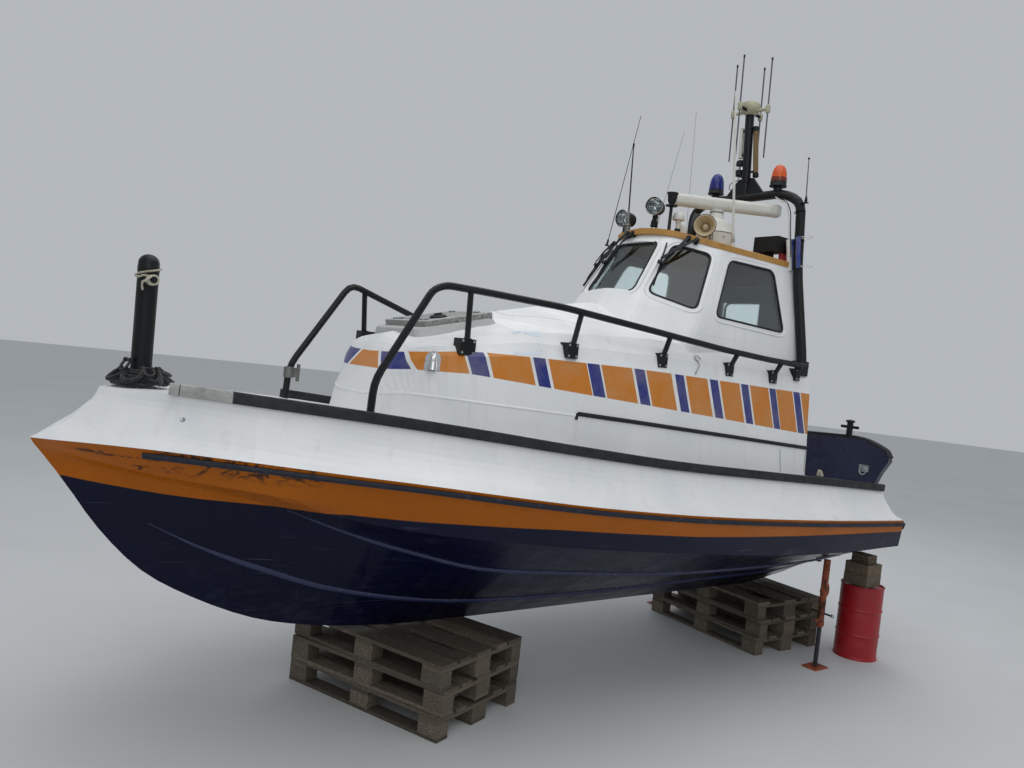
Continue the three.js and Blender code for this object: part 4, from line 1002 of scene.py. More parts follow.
def wipers():
    """Pantograph wipers over the three front panes: two hubs, two arms, a clip and a blade."""
    # The two hubs, the blade's lower end and its upper end, in metres of the drawing
    centre = [(-0.735, -0.13, 3.205), (-0.735, -0.075, 3.205), (-0.498, -0.190, 2.805),
              (-0.712, -0.215, 3.125)]
    port = [(-0.880, 0.405, 3.155), (-0.835, 0.365, 3.165), (-0.540, 0.360, 2.790), (-0.716, 0.275, 3.120)]
    spots = {"centre": centre, "port": port, "starboard": [(x, -y, z) for x, y, z in port]}
    cap = [(0, -0.028), (0.019, -0.028), (0.019, 0.012), (0.013, 0.022), (0, 0.024)]
    flat_bar = [(0.010, 0.004), (-0.010, 0.004), (-0.010, -0.004), (0.010, -0.004)]
    lip = [(0.003, -0.008), (0.006, 0.004), (0.002, 0.010), (-0.002, 0.010), (-0.006, 0.004),
           (-0.003, -0.008)]
    for name, (hub1, hub2, low, high) in spots.items():
        corners = WINDOWS[name]
        out = -(corners[1] - corners[0]).cross(corners[2] - corners[0]).normalized()

        def lift(p, h):
            return D(*(Vector(p) * 1000 + out * h))

        p = Piece(f"wiper_{name}")
        blade = Vector(low) - Vector(high)
        for hub in (hub1, hub2):
            p.add(lathe(cap, lift(hub, 18), out, 16), SATIN)
        tip = lift([(a + b) / 2 for a, b in zip(low, high)], 30)
        for k, hub in enumerate((hub1, hub2)):
            a, b = lift(hub, 36), tip + Vector((0, 0, 0.028 * (1 - 2 * k)))
            bend = a.lerp(b, 0.42) + out * 0.014
            p.add(sweep(smooth([a, bend, b], 0.02), flat_bar, up=blade), SATIN)
        turn = Matrix((out.cross(blade).normalized(), blade.normalized(), out)).transposed()
        p.add(block((0.05, 0.022, 0.02), tip, turn), SATIN)
        a, b = lift(low, 9), lift(high, 9)
        p.add(sweep([a, b], lip, up=out.cross(b - a).normalized()), RUBBER)
        c, d = lift(low, 22), lift(high, 22)
        p.add(sweep([a.lerp(b, 0.05), c.lerp(d, 0.2), tip - out * 0.004, c.lerp(d, 0.8), a.lerp(b, 0.95)],
                    circle(0.0045, 6)), SATIN)
        p.done("black_metal", bevel=0.001)


wipers()


# Hull details
HULL_SKIN, TOP_SKIN, CABIN_SKIN = surface("hull"), surface("topsides"), surface("trunk", "wheelhouse")

# Paths of the spray rails, and of the gunwale's rubber, in millimetres of the drawing
LOWER = [(-3060, 260, 672), (-2500, 262, 622), (-1500, 262, 612), (-600, 257, 602), (240, 232, 604),
         (830, 192, 627), (1250, 168, 684), (1620, 145, 764), (1950, 125, 872), (2300, 82, 1005),
         (2560, 47, 1135)]
UPPER = [(-3060, 610, 838), (-2500, 620, 800), (-1500, 620, 790), (-600, 620, 815), (240, 598, 874),
         (830, 555, 925), (1250, 505, 1025), (1640, 455, 1140), (1980, 395, 1262)]


def snap(tree, p):
    at, normal, _, _ = tree.find_nearest(p)
    return at, normal


def spray_rails():
    """Two rails a side under the hull, tapered at both ends."""
    # The rails' navy is lighter than the hull's: a painted highlight along the rails. The pale spots are
    # scuffs.
    s = vary("spray_rail_painted_highlight", "1c2547", "2b3458", 0.35, 5, grain=120, dirt="79808e", dirt_amount=0.5)
    wedge = [(0.013, 0), (0.008, 0.012), (-0.002, 0.02), (-0.004, -0.02), (0.008, -0.012)]
    for side, m in SIDES:
        p = Piece("spray_rails_" + side)
        for row in (LOWER, UPPER):
            path, ups = [], []
            for q in smooth([D(x, y * m, z) for x, y, z in row], 0.07):
                at, normal = snap(HULL_SKIN, q)
                path.append(at + normal * 0.001)
                ups.append(normal if normal.z < 0.4 else Vector((0, m, -0.5)))
            n = len(path)
            scale = [max(0.15, min(1, (n - 1 - i) / 8, (i + 6) / 8)) for i in range(n)]
            p.add(sweep(path, wedge, scale=scale, up=ups), s.mat)
        p.done("hull_navy", angle=50)


spray_rails()


def hull_fittings():
    """The studs at the bow, and the outlets and the plate on the transom."""
    p = Piece("hull_fittings")
    stud = [(0, 0.002), (0.004, 0.003), (0.009, 0.004), (0.012, 0.001), (0.012, -0.002)]
    outlet = [(0.7, -0.01), (0.8, 0.004), (1, 0.026), (1.15, 0.024), (1.35, 0.006), (1.5, 0.004), (1.5, 0)]
    for m in (1, -1):
        at, normal = land(TOP_SKIN, D(2531, 900 * m, 1700), (0, -m, 0))
        p.add(lathe(stud, at, normal, 16), STEEL)
    for m in (1, -1):
        for y, z, r in ((420, 940, 0.048), (650, 1075, 0.020), (760, 1075, 0.020)):
            p.add(lathe([(r * k, h) for k, h in outlet], D(TRANSOM, y * m, z), AFT, 24), GALV)
    rings = []
    for d, k in ((0, 1), (12, 1), (16, 0.9)):
        rings.append([D(TRANSOM - d, 300 + a * 60, 700 + b * 24) for a, b in rounded(2 * k, 2 * k, 0.5 * k)])
    p.add(skin(rings), GALV)
    p.done("bright_steel", angle=40)


hull_fittings()

GUNWALE_ROW = [(-3058, 842, 1452), (-2300, 892, 1502), (-1500, 905, 1548), (-420, 896, 1612),
               (450, 866, 1686), (1000, 812, 1738), (1550, 728, 1786), (1900, 642, 1812), (2220, 520, 1832),
               (2500, 350, 1846), (2680, 220, 1850), (2774, 98, 1846)]


def gunwale_strips():
    """The rubber along the deck's edge, standing a little over it."""
    row, start = smooth([D(*q) for q in GUNWALE_ROW], 0.03), D(-3060, 0, 0).x
    lift, drop = 0.009, 0.009
    for side, m, end in (("port", 1, 2560), ("starboard", -1, 1640)):
        line, stop = [], D(end, 0, 0).x
        for k, q in enumerate(row):
            if start <= q.x <= stop:
                t = row[min(k + 1, len(row) - 1)] - row[max(k - 1, 0)]
                out = Vector((-t.y, t.x, 0)).normalized()
                line.append(Vector((q.x + out.x * lift, (q.y + out.y * lift) * m, q.z - drop)))
        p = Piece("gunwale_rubber_" + side)
        p.add(sweep(line, rounded(0.058, 0.030, 0.007, 3), up=UP), GUNWALE)
        if m > 0:
            p.add(sweep([line[-1] + (line[-1] - line[-3]).normalized() * v for v in (0.006, 0.052)],
                        rounded(0.056, 0.034, 0.005, 3), up=UP), GUNWALE)
        p.done("black_rubber", angle=50, replaces=("gunwale_strip_" + side,))


gunwale_strips()


# Cabin trunk details: the paths of the ridge and the rubber strip, in millimetres of the drawing
RIDGE = [(300, 732, 1866), (700, 700, 1886), (1100, 652, 1905), (1250, 570, 1910), (1345, 485, 1912),
         (1410, 400, 1908), (1468, 300, 1895), (1496, 190, 1885), (1502, 80, 1882), (1503, 0, 1882)]
STRIP = [(357, 723, 1881), (-153, 751, 1853), (-718, 772, 1819), (-1380, 781, 1779), (-1965, 785, 1744)]


def along_cabin(points, m=1, step=0.05):
    """Points on the cabin's side, and the outward directions there."""
    path, ups = [], []
    for q in smooth([D(x, y * m, z) for x, y, z in points], step):
        at, normal = snap(CABIN_SKIN, q)
        path.append(at)
        ups.append(normal)
    return path, ups


def trunk_mouldings():
    """The ridge, the rubber strips and the seams on the trunk."""
    ridge = Piece("coaming_ridge")
    bead = [(-0.003, -0.010), (0.002, -0.007), (0.0045, 0), (0.002, 0.006), (-0.003, 0.010)]
    strip = [(-0.003, -0.013), (0.008, -0.013), (0.011, -0.006), (0.011, 0.006), (0.008, 0.013),
             (-0.003, 0.013)]
    thin = [(-0.002, -0.003), (0.0015, -0.003), (0.0015, 0.003), (-0.002, 0.003)]
    both = RIDGE + [(x, -y, z) for x, y, z in reversed(RIDGE[:-1])]
    path, ups = along_cabin(both, 1, 0.045)
    ridge.add(sweep(path, bead, up=ups), GEL_CLEAN)
    ridge.done("white_grp", angle=60)
    for side, m in SIDES:
        p = Piece("coaming_strip_" + side)
        path, ups = along_cabin(STRIP, m)
        p.add(sweep(path, strip, up=ups), RUBBER)
        tail = along_cabin([STRIP[0], (366, 722, 1870), (368, 722, 1846)], m, 0.01)
        p.add(sweep(tail[0], rounded(0.016, 0.02, 0.005), up=tail[1]), RUBBER)
        p.done("black_rubber", angle=50)
        seam = Piece("coaming_seams_" + side)
        for pts in ([(-1632, 783, 1722), (-1642, 786, 1650), (-1655, 790, 1562)],
                    [(-1960, 786, 1738), (-1962, 790, 1560)]):
            path, ups = along_cabin(pts, m, 0.04)
            seam.add(sweep(path, thin, up=ups), SEALANT)
        seam.done("white_grp", angle=50)
    top = Piece("deck_seam")
    half = [(139, 356), (208, 282), (304, 191), (424, 132), (490, 92), (530, 0)]
    pts = half + [(x, -y) for x, y in reversed(half[:-1])]
    for q in smooth([D(x, y, 2440) for x, y in pts], 0.022):
        at, normal = land(CABIN_SKIN, q + Vector((0, 0, 0.5)), DOWN)
        top.add(lathe([(0.0042, -0.001), (0.0038, 0.0016), (0, 0.0022)], at, normal, 8), SEALANT)
    top.done("grey_paint")


trunk_mouldings()


def on_cabin(x, z, m=1):
    return land(CABIN_SKIN, D(x, 1500 * m, z), (0, -m, 0))


def axes_at(normal, up=UP):
    """Right and up along a face, seen from outside."""
    right = Vector(up).cross(normal).normalized()
    return right, normal.cross(right).normalized()


def vents():
    """A clam shell vent on each side of the trunk's front."""
    for side, m in SIDES:
        at, normal = on_cabin(1278, 2103, m)
        right, up = axes_at(normal)
        p = Piece("clam_vent_" + side)
        flange = [(-0.044, -0.055), (0.044, -0.055), (0.044, 0.012)]
        flange += [(0.044 * math.cos(a), 0.012 + 0.044 * math.sin(a))
                   for a in np.linspace(0.2, math.pi - 0.2, 11)]
        flange += [(-0.044, 0.012)]
        p.add(prism(flange, 0.005, at - normal * 0.0005, right, up), CHROME)
        rings, inner = [], []
        for k in range(10):
            t = k / 9
            swell = math.sin(t * math.pi / 2)
            w, h = 0.012 + 0.013 * swell, 0.003 + 0.027 * swell ** 0.8
            ring, hole = [], []
            for a in np.linspace(0, math.pi, 17):
                c, s = math.cos(a), math.sin(a)
                c, s = math.copysign(abs(c) ** 0.6, c), s ** 0.6
                mid = at + up * (0.045 - 0.097 * t)
                ring.append(mid + right * (w * c) + normal * (h * s))
                hole.append(mid + right * (w * 0.86 * c) + normal * (h * 0.86 * s))
            rings.append(ring)
            inner.append(hole)
        p.add(skin([r + list(reversed(i)) for r, i in zip(rings, inner)]), CHROME)
        mouth = [(-0.020, -0.0505), (0.020, -0.0505), (0.020, -0.044), (-0.020, -0.044)]
        p.add(prism(mouth, 0.022, at + normal * 0.011, right, up), SATIN)
        for a, b in ((-0.036, -0.047), (0.036, -0.047), (-0.036, 0), (0.036, 0), (0, 0.0495)):
            p.add(bolt(at + right * a + up * b + normal * 0.002, normal, 0.004, 0.0025), STEEL)
        p.done("bright_steel", angle=40)


vents()


def blank_plate():
    """A bare white plate on the trunk's port shoulder."""
    corners = [D(835, 638, 2187), D(646, 657, 2206), D(541, 504, 2348), D(736, 482, 2325)]
    n, grid = 10, []
    for i in range(n + 1):
        row = []
        for j in range(n + 1):
            a = corners[0].lerp(corners[1], j / n).lerp(corners[3].lerp(corners[2], j / n), i / n)
            row.append(snap(CABIN_SKIN, a))
        grid.append(row)
    edge = [(0, j) for j in range(n)] + [(i, n) for i in range(n)]
    edge += [(n, n - j) for j in range(n)] + [(n - i, 0) for i in range(n)]
    rim, row = [grid[i][j] for i, j in edge], n + 1
    verts = [q + m * 0.0018 for r in grid for q, m in r] + [q - m * 0.001 for q, m in rim]
    faces = []
    for i in range(n):
        faces += [(i * row + j, i * row + j + 1, (i + 1) * row + j + 1, (i + 1) * row + j) for j in range(n)]
    ring, base = [i * row + j for i, j in edge], row ** 2
    for k in range(len(ring)):
        after = (k + 1) % len(ring)
        faces.append((ring[k], ring[after], base + after, base + k))
    Piece("blank_plate").add((verts, faces), PLATE).done("white_plastic", angle=60)


blank_plate()


def trunk_small():
    """A small fitting with its lead and eye on each side of the trunk."""
    p = Piece("trunk_fittings")
    for m in (1, -1):
        at, normal = snap(CABIN_SKIN, D(-690, 690 * m, 2300))
        right, up = axes_at(normal)
        button = [(0, 0.010), (0.014, 0.010), (0.018, 0.006), (0.02, 0), (0.02, -0.003)]
        p.add(lathe(button, at, normal, 20), AGED)
        r, lead = 0.026, []
        for a in np.linspace(-0.3, 3.4, 14):
            lead.append(at + right * (r * math.cos(a)) + up * (r * math.sin(a)) + normal * 0.012)
        low, out = snap(CABIN_SKIN, D(-655, 728 * m, 2210))
        lead += [at.lerp(low, 0.45) + normal * 0.016 + right * 0.02, low + out * 0.004]
        p.add(wire(lead, 0.0028, 6, 0.01), SEALANT)
        p.add(lathe([(0, 0.008), (0.007, 0.007), (0.009, 0), (0.009, -0.002)], low, out, 12), STEEL)
    p.done("white_plastic", angle=45)


trunk_small()


def hatch_details():
    """The lid's rim, tread and fastenings, and the seal under it."""
    tilt, long, wide = 13.5, 478, 498
    turn = Matrix.Rotation(math.radians(tilt), 3, "Y")
    mid = D(955, 0, 2352)
    normal = turn @ UP

    def on(x, y, z):
        return mid + turn @ (Vector((x, y, z)) / 1000)

    def ring(grow, h, r=0.0):
        return [on(a, b, h) for a, b in rounded(long + 2 * grow, wide + 2 * grow, max(4, r + grow), 5)]

    trim = Piece("hatch_trim")
    rim = ((0, 31), (0.6, 33.5), (-3, 36), (-22, 36), (-27, 33.5), (-30, 31.5))
    trim.add(skin([ring(g, h, 14) for g, h in rim], True), GREY)
    tread = ((-31, 31.5), (-33, 34), (-60, 34.6), (-180, 34.8))
    trim.add(skin([ring(g, h, 34) for g, h in tread], False), NONSLIP)
    for y in (-150, 150):
        trim.add(block((0.05, 0.06, 0.008), on(198, y, 40), turn), STEEL)
        for dx, dy in ((-14, -20), (-14, 20), (12, -20), (12, 20)):
            trim.add(bolt(on(198 + dx, y + dy, 44), normal, 0.0045, 0.003), STEEL)
    vent = [(0, 0), (0.052, 0), (0.055, 0.006), (0.044, 0.016), (0.02, 0.019), (0, 0.019)]
    trim.add(lathe(vent, on(78, 128, 34), normal, 24), SATIN)
    trim.add(block((0.05, 0.016, 0.014), on(78, 128, 55), turn), SATIN)
    lock = [(0, 0), (0.02, 0), (0.022, 0.006), (0.016, 0.01), (0, 0.011)]
    for y in (-140, 140):
        trim.add(lathe(lock, on(-196, y, 35), normal, 20), STEEL)
    trim.done("grey_paint", "foredeck_hatch", 45, 0.0012)
    seal = Piece("hatch_seal")
    lip = ((-16, -6), (3.5, -5), (5, -2.5), (3.5, 0.1), (-16, 0.1))
    seal.add(skin([ring(g, h, 20) for g, h in lip], True), RUBBER)
    seal.done("black_rubber", angle=50)


hatch_details()


# Rails: the feet of the stanchions, by their middle and half width
POSTS = {"port": [(1120, 592, 2206, 50), (425, 678, 2258, 42)],
         "starboard": [(1165, 578, 2204, 50), (425, 678, 2258, 42)]}
AFT_POSTS = [(-340, 702, 2270, 40), (-1000, 728, 2268, 38), (-1500, 738, 2256, 38), (-1800, 735, 2296, 28)]


def rail_bolts():
    """The stanchions' bolts and collars, the rails' ends, and the cleat on the starboard rail."""
    for side, m in SIDES:
        p = Piece("rail_fixings_" + side)
        for x, y, z, w in POSTS[side] + AFT_POSTS:
            for dx in (-w + 12, w - 12):
                for dz in (-36, 29):
                    p.add(bolt(D(x + dx, (y + 15.5) * m, z + dz), (0, m, 0), 0.0058, 0.005), STEEL)
            p.add(torus(D(x, (y + 1) * m, z + 43), UP, 0.019, 0.004, 20, 6), BLACK)
        end = D(ARCH_X, 760 * m, 2364)
        p.add(lathe([(0.0, 0.010), (0.012, 0.008), (0.0195, 0.001), (0.0215, -0.012)], end, AFT, 16), BLACK)
        collar = [(0.021, 0), (0.03, 0.001), (0.032, -0.006), (0.032, -0.022)]
        p.add(lathe(collar, D(1668, 582 * m, 1712), UP, 20), BLACK)
        p.done("black_metal", angle=40)
    clamp = Piece("rail_cleat")
    at = D(1659, -578, 1930)
    clamp.add(lathe([(0.021, -0.035), (0.031, -0.033), (0.031, 0.033), (0.021, 0.035)], at, UP, 20), GALV)
    clamp.add(block((0.05, 0.018, 0.06), at + Vector((-0.045, 0, 0))), GALV)
    clamp.add(rod(at + Vector((-0.062, 0, -0.055)), at + Vector((-0.062, 0, 0.055)), 0.011), GALV)
    clamp.done("bright_steel", angle=45, bevel=0.002)


rail_bolts()


# Gear on the roof, turned from the bow by these degrees
HORN_TURN, BLADE_TURN = 35, 145


def aim(turn):
    return spoke(math.radians(turn))


def searchlight(name, x, y, z, turn, foot):
    """A round lamp with its rim, lens, reflector and bulb, on a foot and a stem."""
    axis, at, p = aim(turn), D(x, y, z), Piece(name + "_lamp")
    side = Vector((-axis.y, axis.x, 0))
    shell = [(0, -.086), (.03, -.085), (.044, -.072), (.057, -.03), (.065, .018), (.0695, .044),
             (.0695, .051), (.0655, .052), (.0645, .046), (.061, .02)]
    reflector = [(.0635, .034), (.053, -.004), (.036, -.03), (.014, -.040), (0, -.041)]
    lens = [(0, .0545), (.03, .053), (.05, .0505), (.0648, .046), (.0645, .044), (.05, .0485), (.03, .051),
            (0, .0525)]
    bulb = [(0, -.006), (.006, -.008), (.0095, -.018), (.0085, -.032), (.013, -.038), (.013, -.043)]
    p.add(lathe(shell, at, axis, 40), SATIN)
    p.add(lathe(reflector, at, axis, 40), CHROME)
    p.add(torus(at + axis * .050, axis, .0672, .0032, 44, 8), CHROME)
    p.add(lathe(lens, at, axis, 36), CLEAR)
    p.add(lathe(bulb, at, axis, 16), AGED)
    p.add(block((.006, .118, .006), at + axis * .012, Matrix.Rotation(math.radians(turn), 3, "Z")), CHROME)
    for h in (-.068, -.058, -.048):
        r = .0445 + (.068 + h) * .35
        p.add(torus(at + axis * h, axis, r + .0015, .0022, 36, 6), SATIN)
    neck = at - axis * .012
    p.add(prism([(-.016, -.120), (.016, -.120), (.020, -.064), (-.020, -.064)], .034, neck, axis, UP), SATIN)
    for s in (1, -1):
        p.add(bolt(at + Vector((0, 0, -.104)) + side * (.017 * s) - axis * .012, side * s, .012, .010),
              CHROME)
    base = D(x, y, foot - 3)
    low = at.z - base.z
    socket = [(.024, low - .150), (.026, low - .146), (.026, low - .110), (0, low - .108)]
    stem = [(0, .001), (.046, .001), (.048, .004), (.046, .009), (.030, .012), (.0225, .022), (.0205, .04),
            (.0195, low - .152), (.029, low - .150), (.029, low - .138), (.02, low - .136)]
    band = [(.0225, low - .172), (.0245, low - .170), (.0245, low - .160), (.0225, low - .158)]
    for shape, mat in ((socket, SATIN), (stem, SATIN), (band, CHROME)):
        p.add(lathe(shape, base, UP, 24), mat)
    for k in range(4):
        a = math.tau * (k + .5) / 4
        p.add(bolt(base + spoke(a) * .038 + Vector((0, 0, .009)), UP, .0045, .004), STEEL)
    p.done("black_metal", name, 40, replaces=(name,))


searchlight("searchlight_centre", -860, -10, 3440, 24, 3250)
searchlight("searchlight_starboard", -830, -290, 3362, 2, 3226)
ROOF = surface("roof", "wheelhouse")


def roof_at(x, y):
    return land(ROOF, D(x, y, 3600), DOWN)[0]


def horn_details():
    """The horn's rim and driver, and its bracket."""
    axis, at = aim(HORN_TURN), D(-1215, 190, 3335)
    p = Piece("hailer_details")
    p.add(torus(at + axis * .098, axis, .0835, .0032, 44, 8), SATIN)
    driver = [(0, .066), (.012, .062), (.022, .046), (.028, .02), (.030, -.01), (.030, -.03)]
    p.add(lathe(driver, at, axis, 24), CREAM)
    cheek = [(-.016, -.118), (.016, -.118), (.02, -.02), (.012, .012), (-.012, .012), (-.02, -.02)]
    side = Vector((-axis.y, axis.x, 0))
    for s in (-1, 1):
        p.add(prism(cheek, .004, at + side * s * .0515 - axis * .07, axis, UP), GALV)
        p.add(bolt(at + side * s * .0535 - axis * .07, side * s, .011, .009), SATIN)
    p.done("black_metal", "boat", 40, .0008)


def radar_details():
    """Trim and bolts on the radar's foot, and its blade."""
    at = D(-1500, 40, 3200)
    p = Piece("radar_trim")
    p.add(torus(at + Vector((0, 0, .148)), UP, .1575, .0025, 64, 6), SATIN)
    for k in range(8):
        a = math.tau * (k + .5) / 8
        q = at + spoke(a) * .1595
        p.add(bolt(q + Vector((0, 0, .11)), (math.cos(a), math.sin(a), .1), .006, .005), STEEL)
    p.add(torus(at + Vector((0, 0, .316)), UP, .0535, .003, 40, 6), SATIN)
    p.done("black_metal")
    turn = Matrix.Rotation(math.radians(BLADE_TURN), 3, "Z")
    blade, mid = Piece("scanner_blade"), D(-1500, 40, 3520)
    rings, axle = [], .067
    # Places along the blade, and the section's size there
    ends = ((-.370, .55), (-.368, .80), (-.362, .92), (-.350, .985), (-.335, 1), (.475, 1), (.490, .985),
            (.502, .92), (.508, .80), (.510, .55))
    for x, k in ends:
        rings.append([mid + turn @ Vector((x, b * k, axle + a * k)) for a, b in rounded(.100, .088, .036, 6)])
    blade.add(skin(rings), AGED, .1)
    for x in (-.338, .478):
        ring = [mid + turn @ Vector((x, b, axle + a)) for a, b in rounded(.102, .090, .037, 6)]
        blade.add(wire(ring, .0012, 6, .01, True), GREY)
    blade.add(lathe([(.05, 0), (.052, .004), (.052, .022), (.040, .026)], mid, UP, 32), AGED, .1)
    blade.done("white_plastic", "radar_scanner", 40, replaces=("radar_scanner",))


def roof_small():
    """A cup shaped light, two small aerials and a bracket."""
    p = Piece("cup_light")
    foot = roof_at(-855, 150)
    top = D(-855, 150, 3430)
    p.add(lathe([(.034, 0), (.034, .006), (.016, .010), (.0125, .02), (.012, (top - foot).z)], foot, UP, 24),
          SATIN)
    p.add(lathe([(0, 0), (.044, 0), (.046, .004), (.044, .008), (.02, .010), (.02, .018), (.030, .034),
                 (.034, .062), (.036, .084), (.0425, .094), (.0425, .100), (.037, .100), (.033, .088),
                 (0, .084)], top, UP, 32), SATIN)
    p.done("black_metal", angle=35)
    cap = Piece("position_aerial")
    foot = roof_at(-925, 170)
    cap.add(lathe([(.022, -.002), (.022, .03), (.018, .034)], foot, UP, 20), SATIN)
    h = D(0, 0, 3398).z - foot.z
    cap.add(lathe([(.0165, .03), (.018, h - .085), (.024, h - .062), (.044, h - .060), (.0465, h - .052),
                   (.044, h - .03), (.036, h - .012), (.02, h - .002), (0, h)], foot, UP, 32), AGED, .3)
    dome = roof_at(-1020, 130)
    h = D(0, 0, 3337).z - dome.z
    cap.add(lathe([(.030, -.004), (.038, 0), (.038, h - .045), (.034, h - .022), (.022, h - .006), (0, h)],
                  dome, UP, 32), AGED, .3)
    cap.done("white_plastic", angle=40)
    strap = Piece("aerial_bracket")
    path = smooth([roof_at(-1120, 150) + Vector((0, 0, .001)), D(-1135, 140, 3320), D(-1160, 120, 3380),
                   D(-1195, 100, 3425), D(-1230, 80, 3450)], .01)
    strap.add(sweep(path, rounded(.05, .012, .004, 3)), SATIN)
    strap.done("black_metal", angle=40)


def whips():
    """The two thick aerials, three thin ones and the clamp at the port one's foot."""
    for name, lo, hi, slot in (("whip_port", (-1200, 485, 3140), (-1005, 500, 4260), "white_plastic"),
                               ("whip_starboard", (-737, -160, 3180), (-712, -175, 3912), "bright_steel")):
        a, b = D(*lo), D(*hi)
        axis, n = (b - a).normalized(), (b - a).length
        p = Piece(name + "_aerial")
        if name == "whip_port":
            p.add(lathe([(0, 0), (.0185, 0), (.0195, .004), (.0195, .012), (.015, .016), (.0145, .06),
                         (.0125, .066), (.0115, .14), (.0095, .15), (.0088, n * .5), (.0064, n - .01),
                         (.003, n), (0, n)], a, axis, 20), AGED, .2)
            p.add(lathe([(.0125, .066), (.0155, .068), (.0155, .082), (.0118, .084)], a, axis, 20), CHROME)
        else:
            body = [(0, 0), (.021, 0), (.0215, .006)]
            for k in range(5):
                body += [(r, h + .021 * k) for r, h in ((.0195, .010), (.0225, .016), (.0225, .024),
                                                        (.0195, .029))]
            p.add(lathe(body + [(.016, .118), (.017, .122), (.008, .215), (.006, .218)], a, axis, 24), GALV)
            p.add(lathe([(.006, .21), (.0055, n * .6), (.0045, n - .03)], a, axis, 12), SATIN)
            p.add(lathe([(.0045, n - .03), (.0075, n - .028), (.0075, n - .004), (0, n)], a, axis, 12), SATIN)
        p.done(slot, angle=40, replaces=(name,))
    thin = Piece("thin_whips")
    rows = (((-853, -500, 3170), (-1069, -500, 4272), .0032, SATIN, False),
            ((-1112, -250, 3215), (-1332, -250, 4171), .0018, GALV, True),
            ((-1500, -250, 3215), (-1447, -250, 4370), .0018, GALV, True))
    for lo, hi, r, mat, on_roof in rows:
        b = D(*hi)
        foot = roof_at(lo[0], lo[1]) if on_roof else D(*lo)
        thin.add(rod(foot - Vector((0, 0, .004)), b, r, 8, r * .7), mat)
        thin.add(lathe([(.017, 0), (.017, .004), (.009, .012), (.0075, .05), (r, .055)], foot, b - foot, 16),
                 SATIN)
    thin.done("black_metal", angle=40)
    clamp = Piece("whip_clamp")
    clamp.add(block((.05, .06, .012), D(-1200, 470, 3146)), STEEL)
    clamp.add(torus(D(-1197, 485.5, 3165), (.17, .01, 1), .0205, .004, 24, 6), STEEL)
    for x, y in ((-1218, 448), (-1182, 448)):
        clamp.add(bolt(D(x, y, 3152), UP, .005, .004), STEEL)
    clamp.done("bright_steel", angle=40, bevel=.001)


def beacons():
    """The two flashing lights on the arch."""
    for side, m, mat, slot in (("port", 1, AMBER, "beacon_amber"), ("starboard", -1, BLUE, "beacon_blue")):
        at = D(ARCH_X, 312 * m, 3780)
        p = Piece("beacon_lens_" + side)
        low = AMBER_LOW if m > 0 else mat
        p.add(lathe([(.0610, .036), (.0635, .044), (.0620, .074)], at, UP, 40), low)
        lens = [(.0620, .074), (.0575, .112), (.0495, .142), (.036, .164), (.018, .177), (0, .180)]
        base = [(0, 0), (.064, 0), (.068, .003), (.068, .010), (.0635, .016), (.0625, .042), (.0600, .044)]
        p.add(lathe(lens, at, UP, 40), mat)
        p.add(lathe(base, at, UP, 40), SATIN)
        p.add(lathe([(.033, -.034), (.033, -.004), (.042, 0)], at, UP, 28), SATIN)
        p.add(lathe([(0, .02), (.02, .02), (.02, .05), (.012, .056), (.012, .10), (0, .104)], at, UP, 16),
              CHROME)
        p.done(slot, angle=40, replaces=("beacon_" + side,))


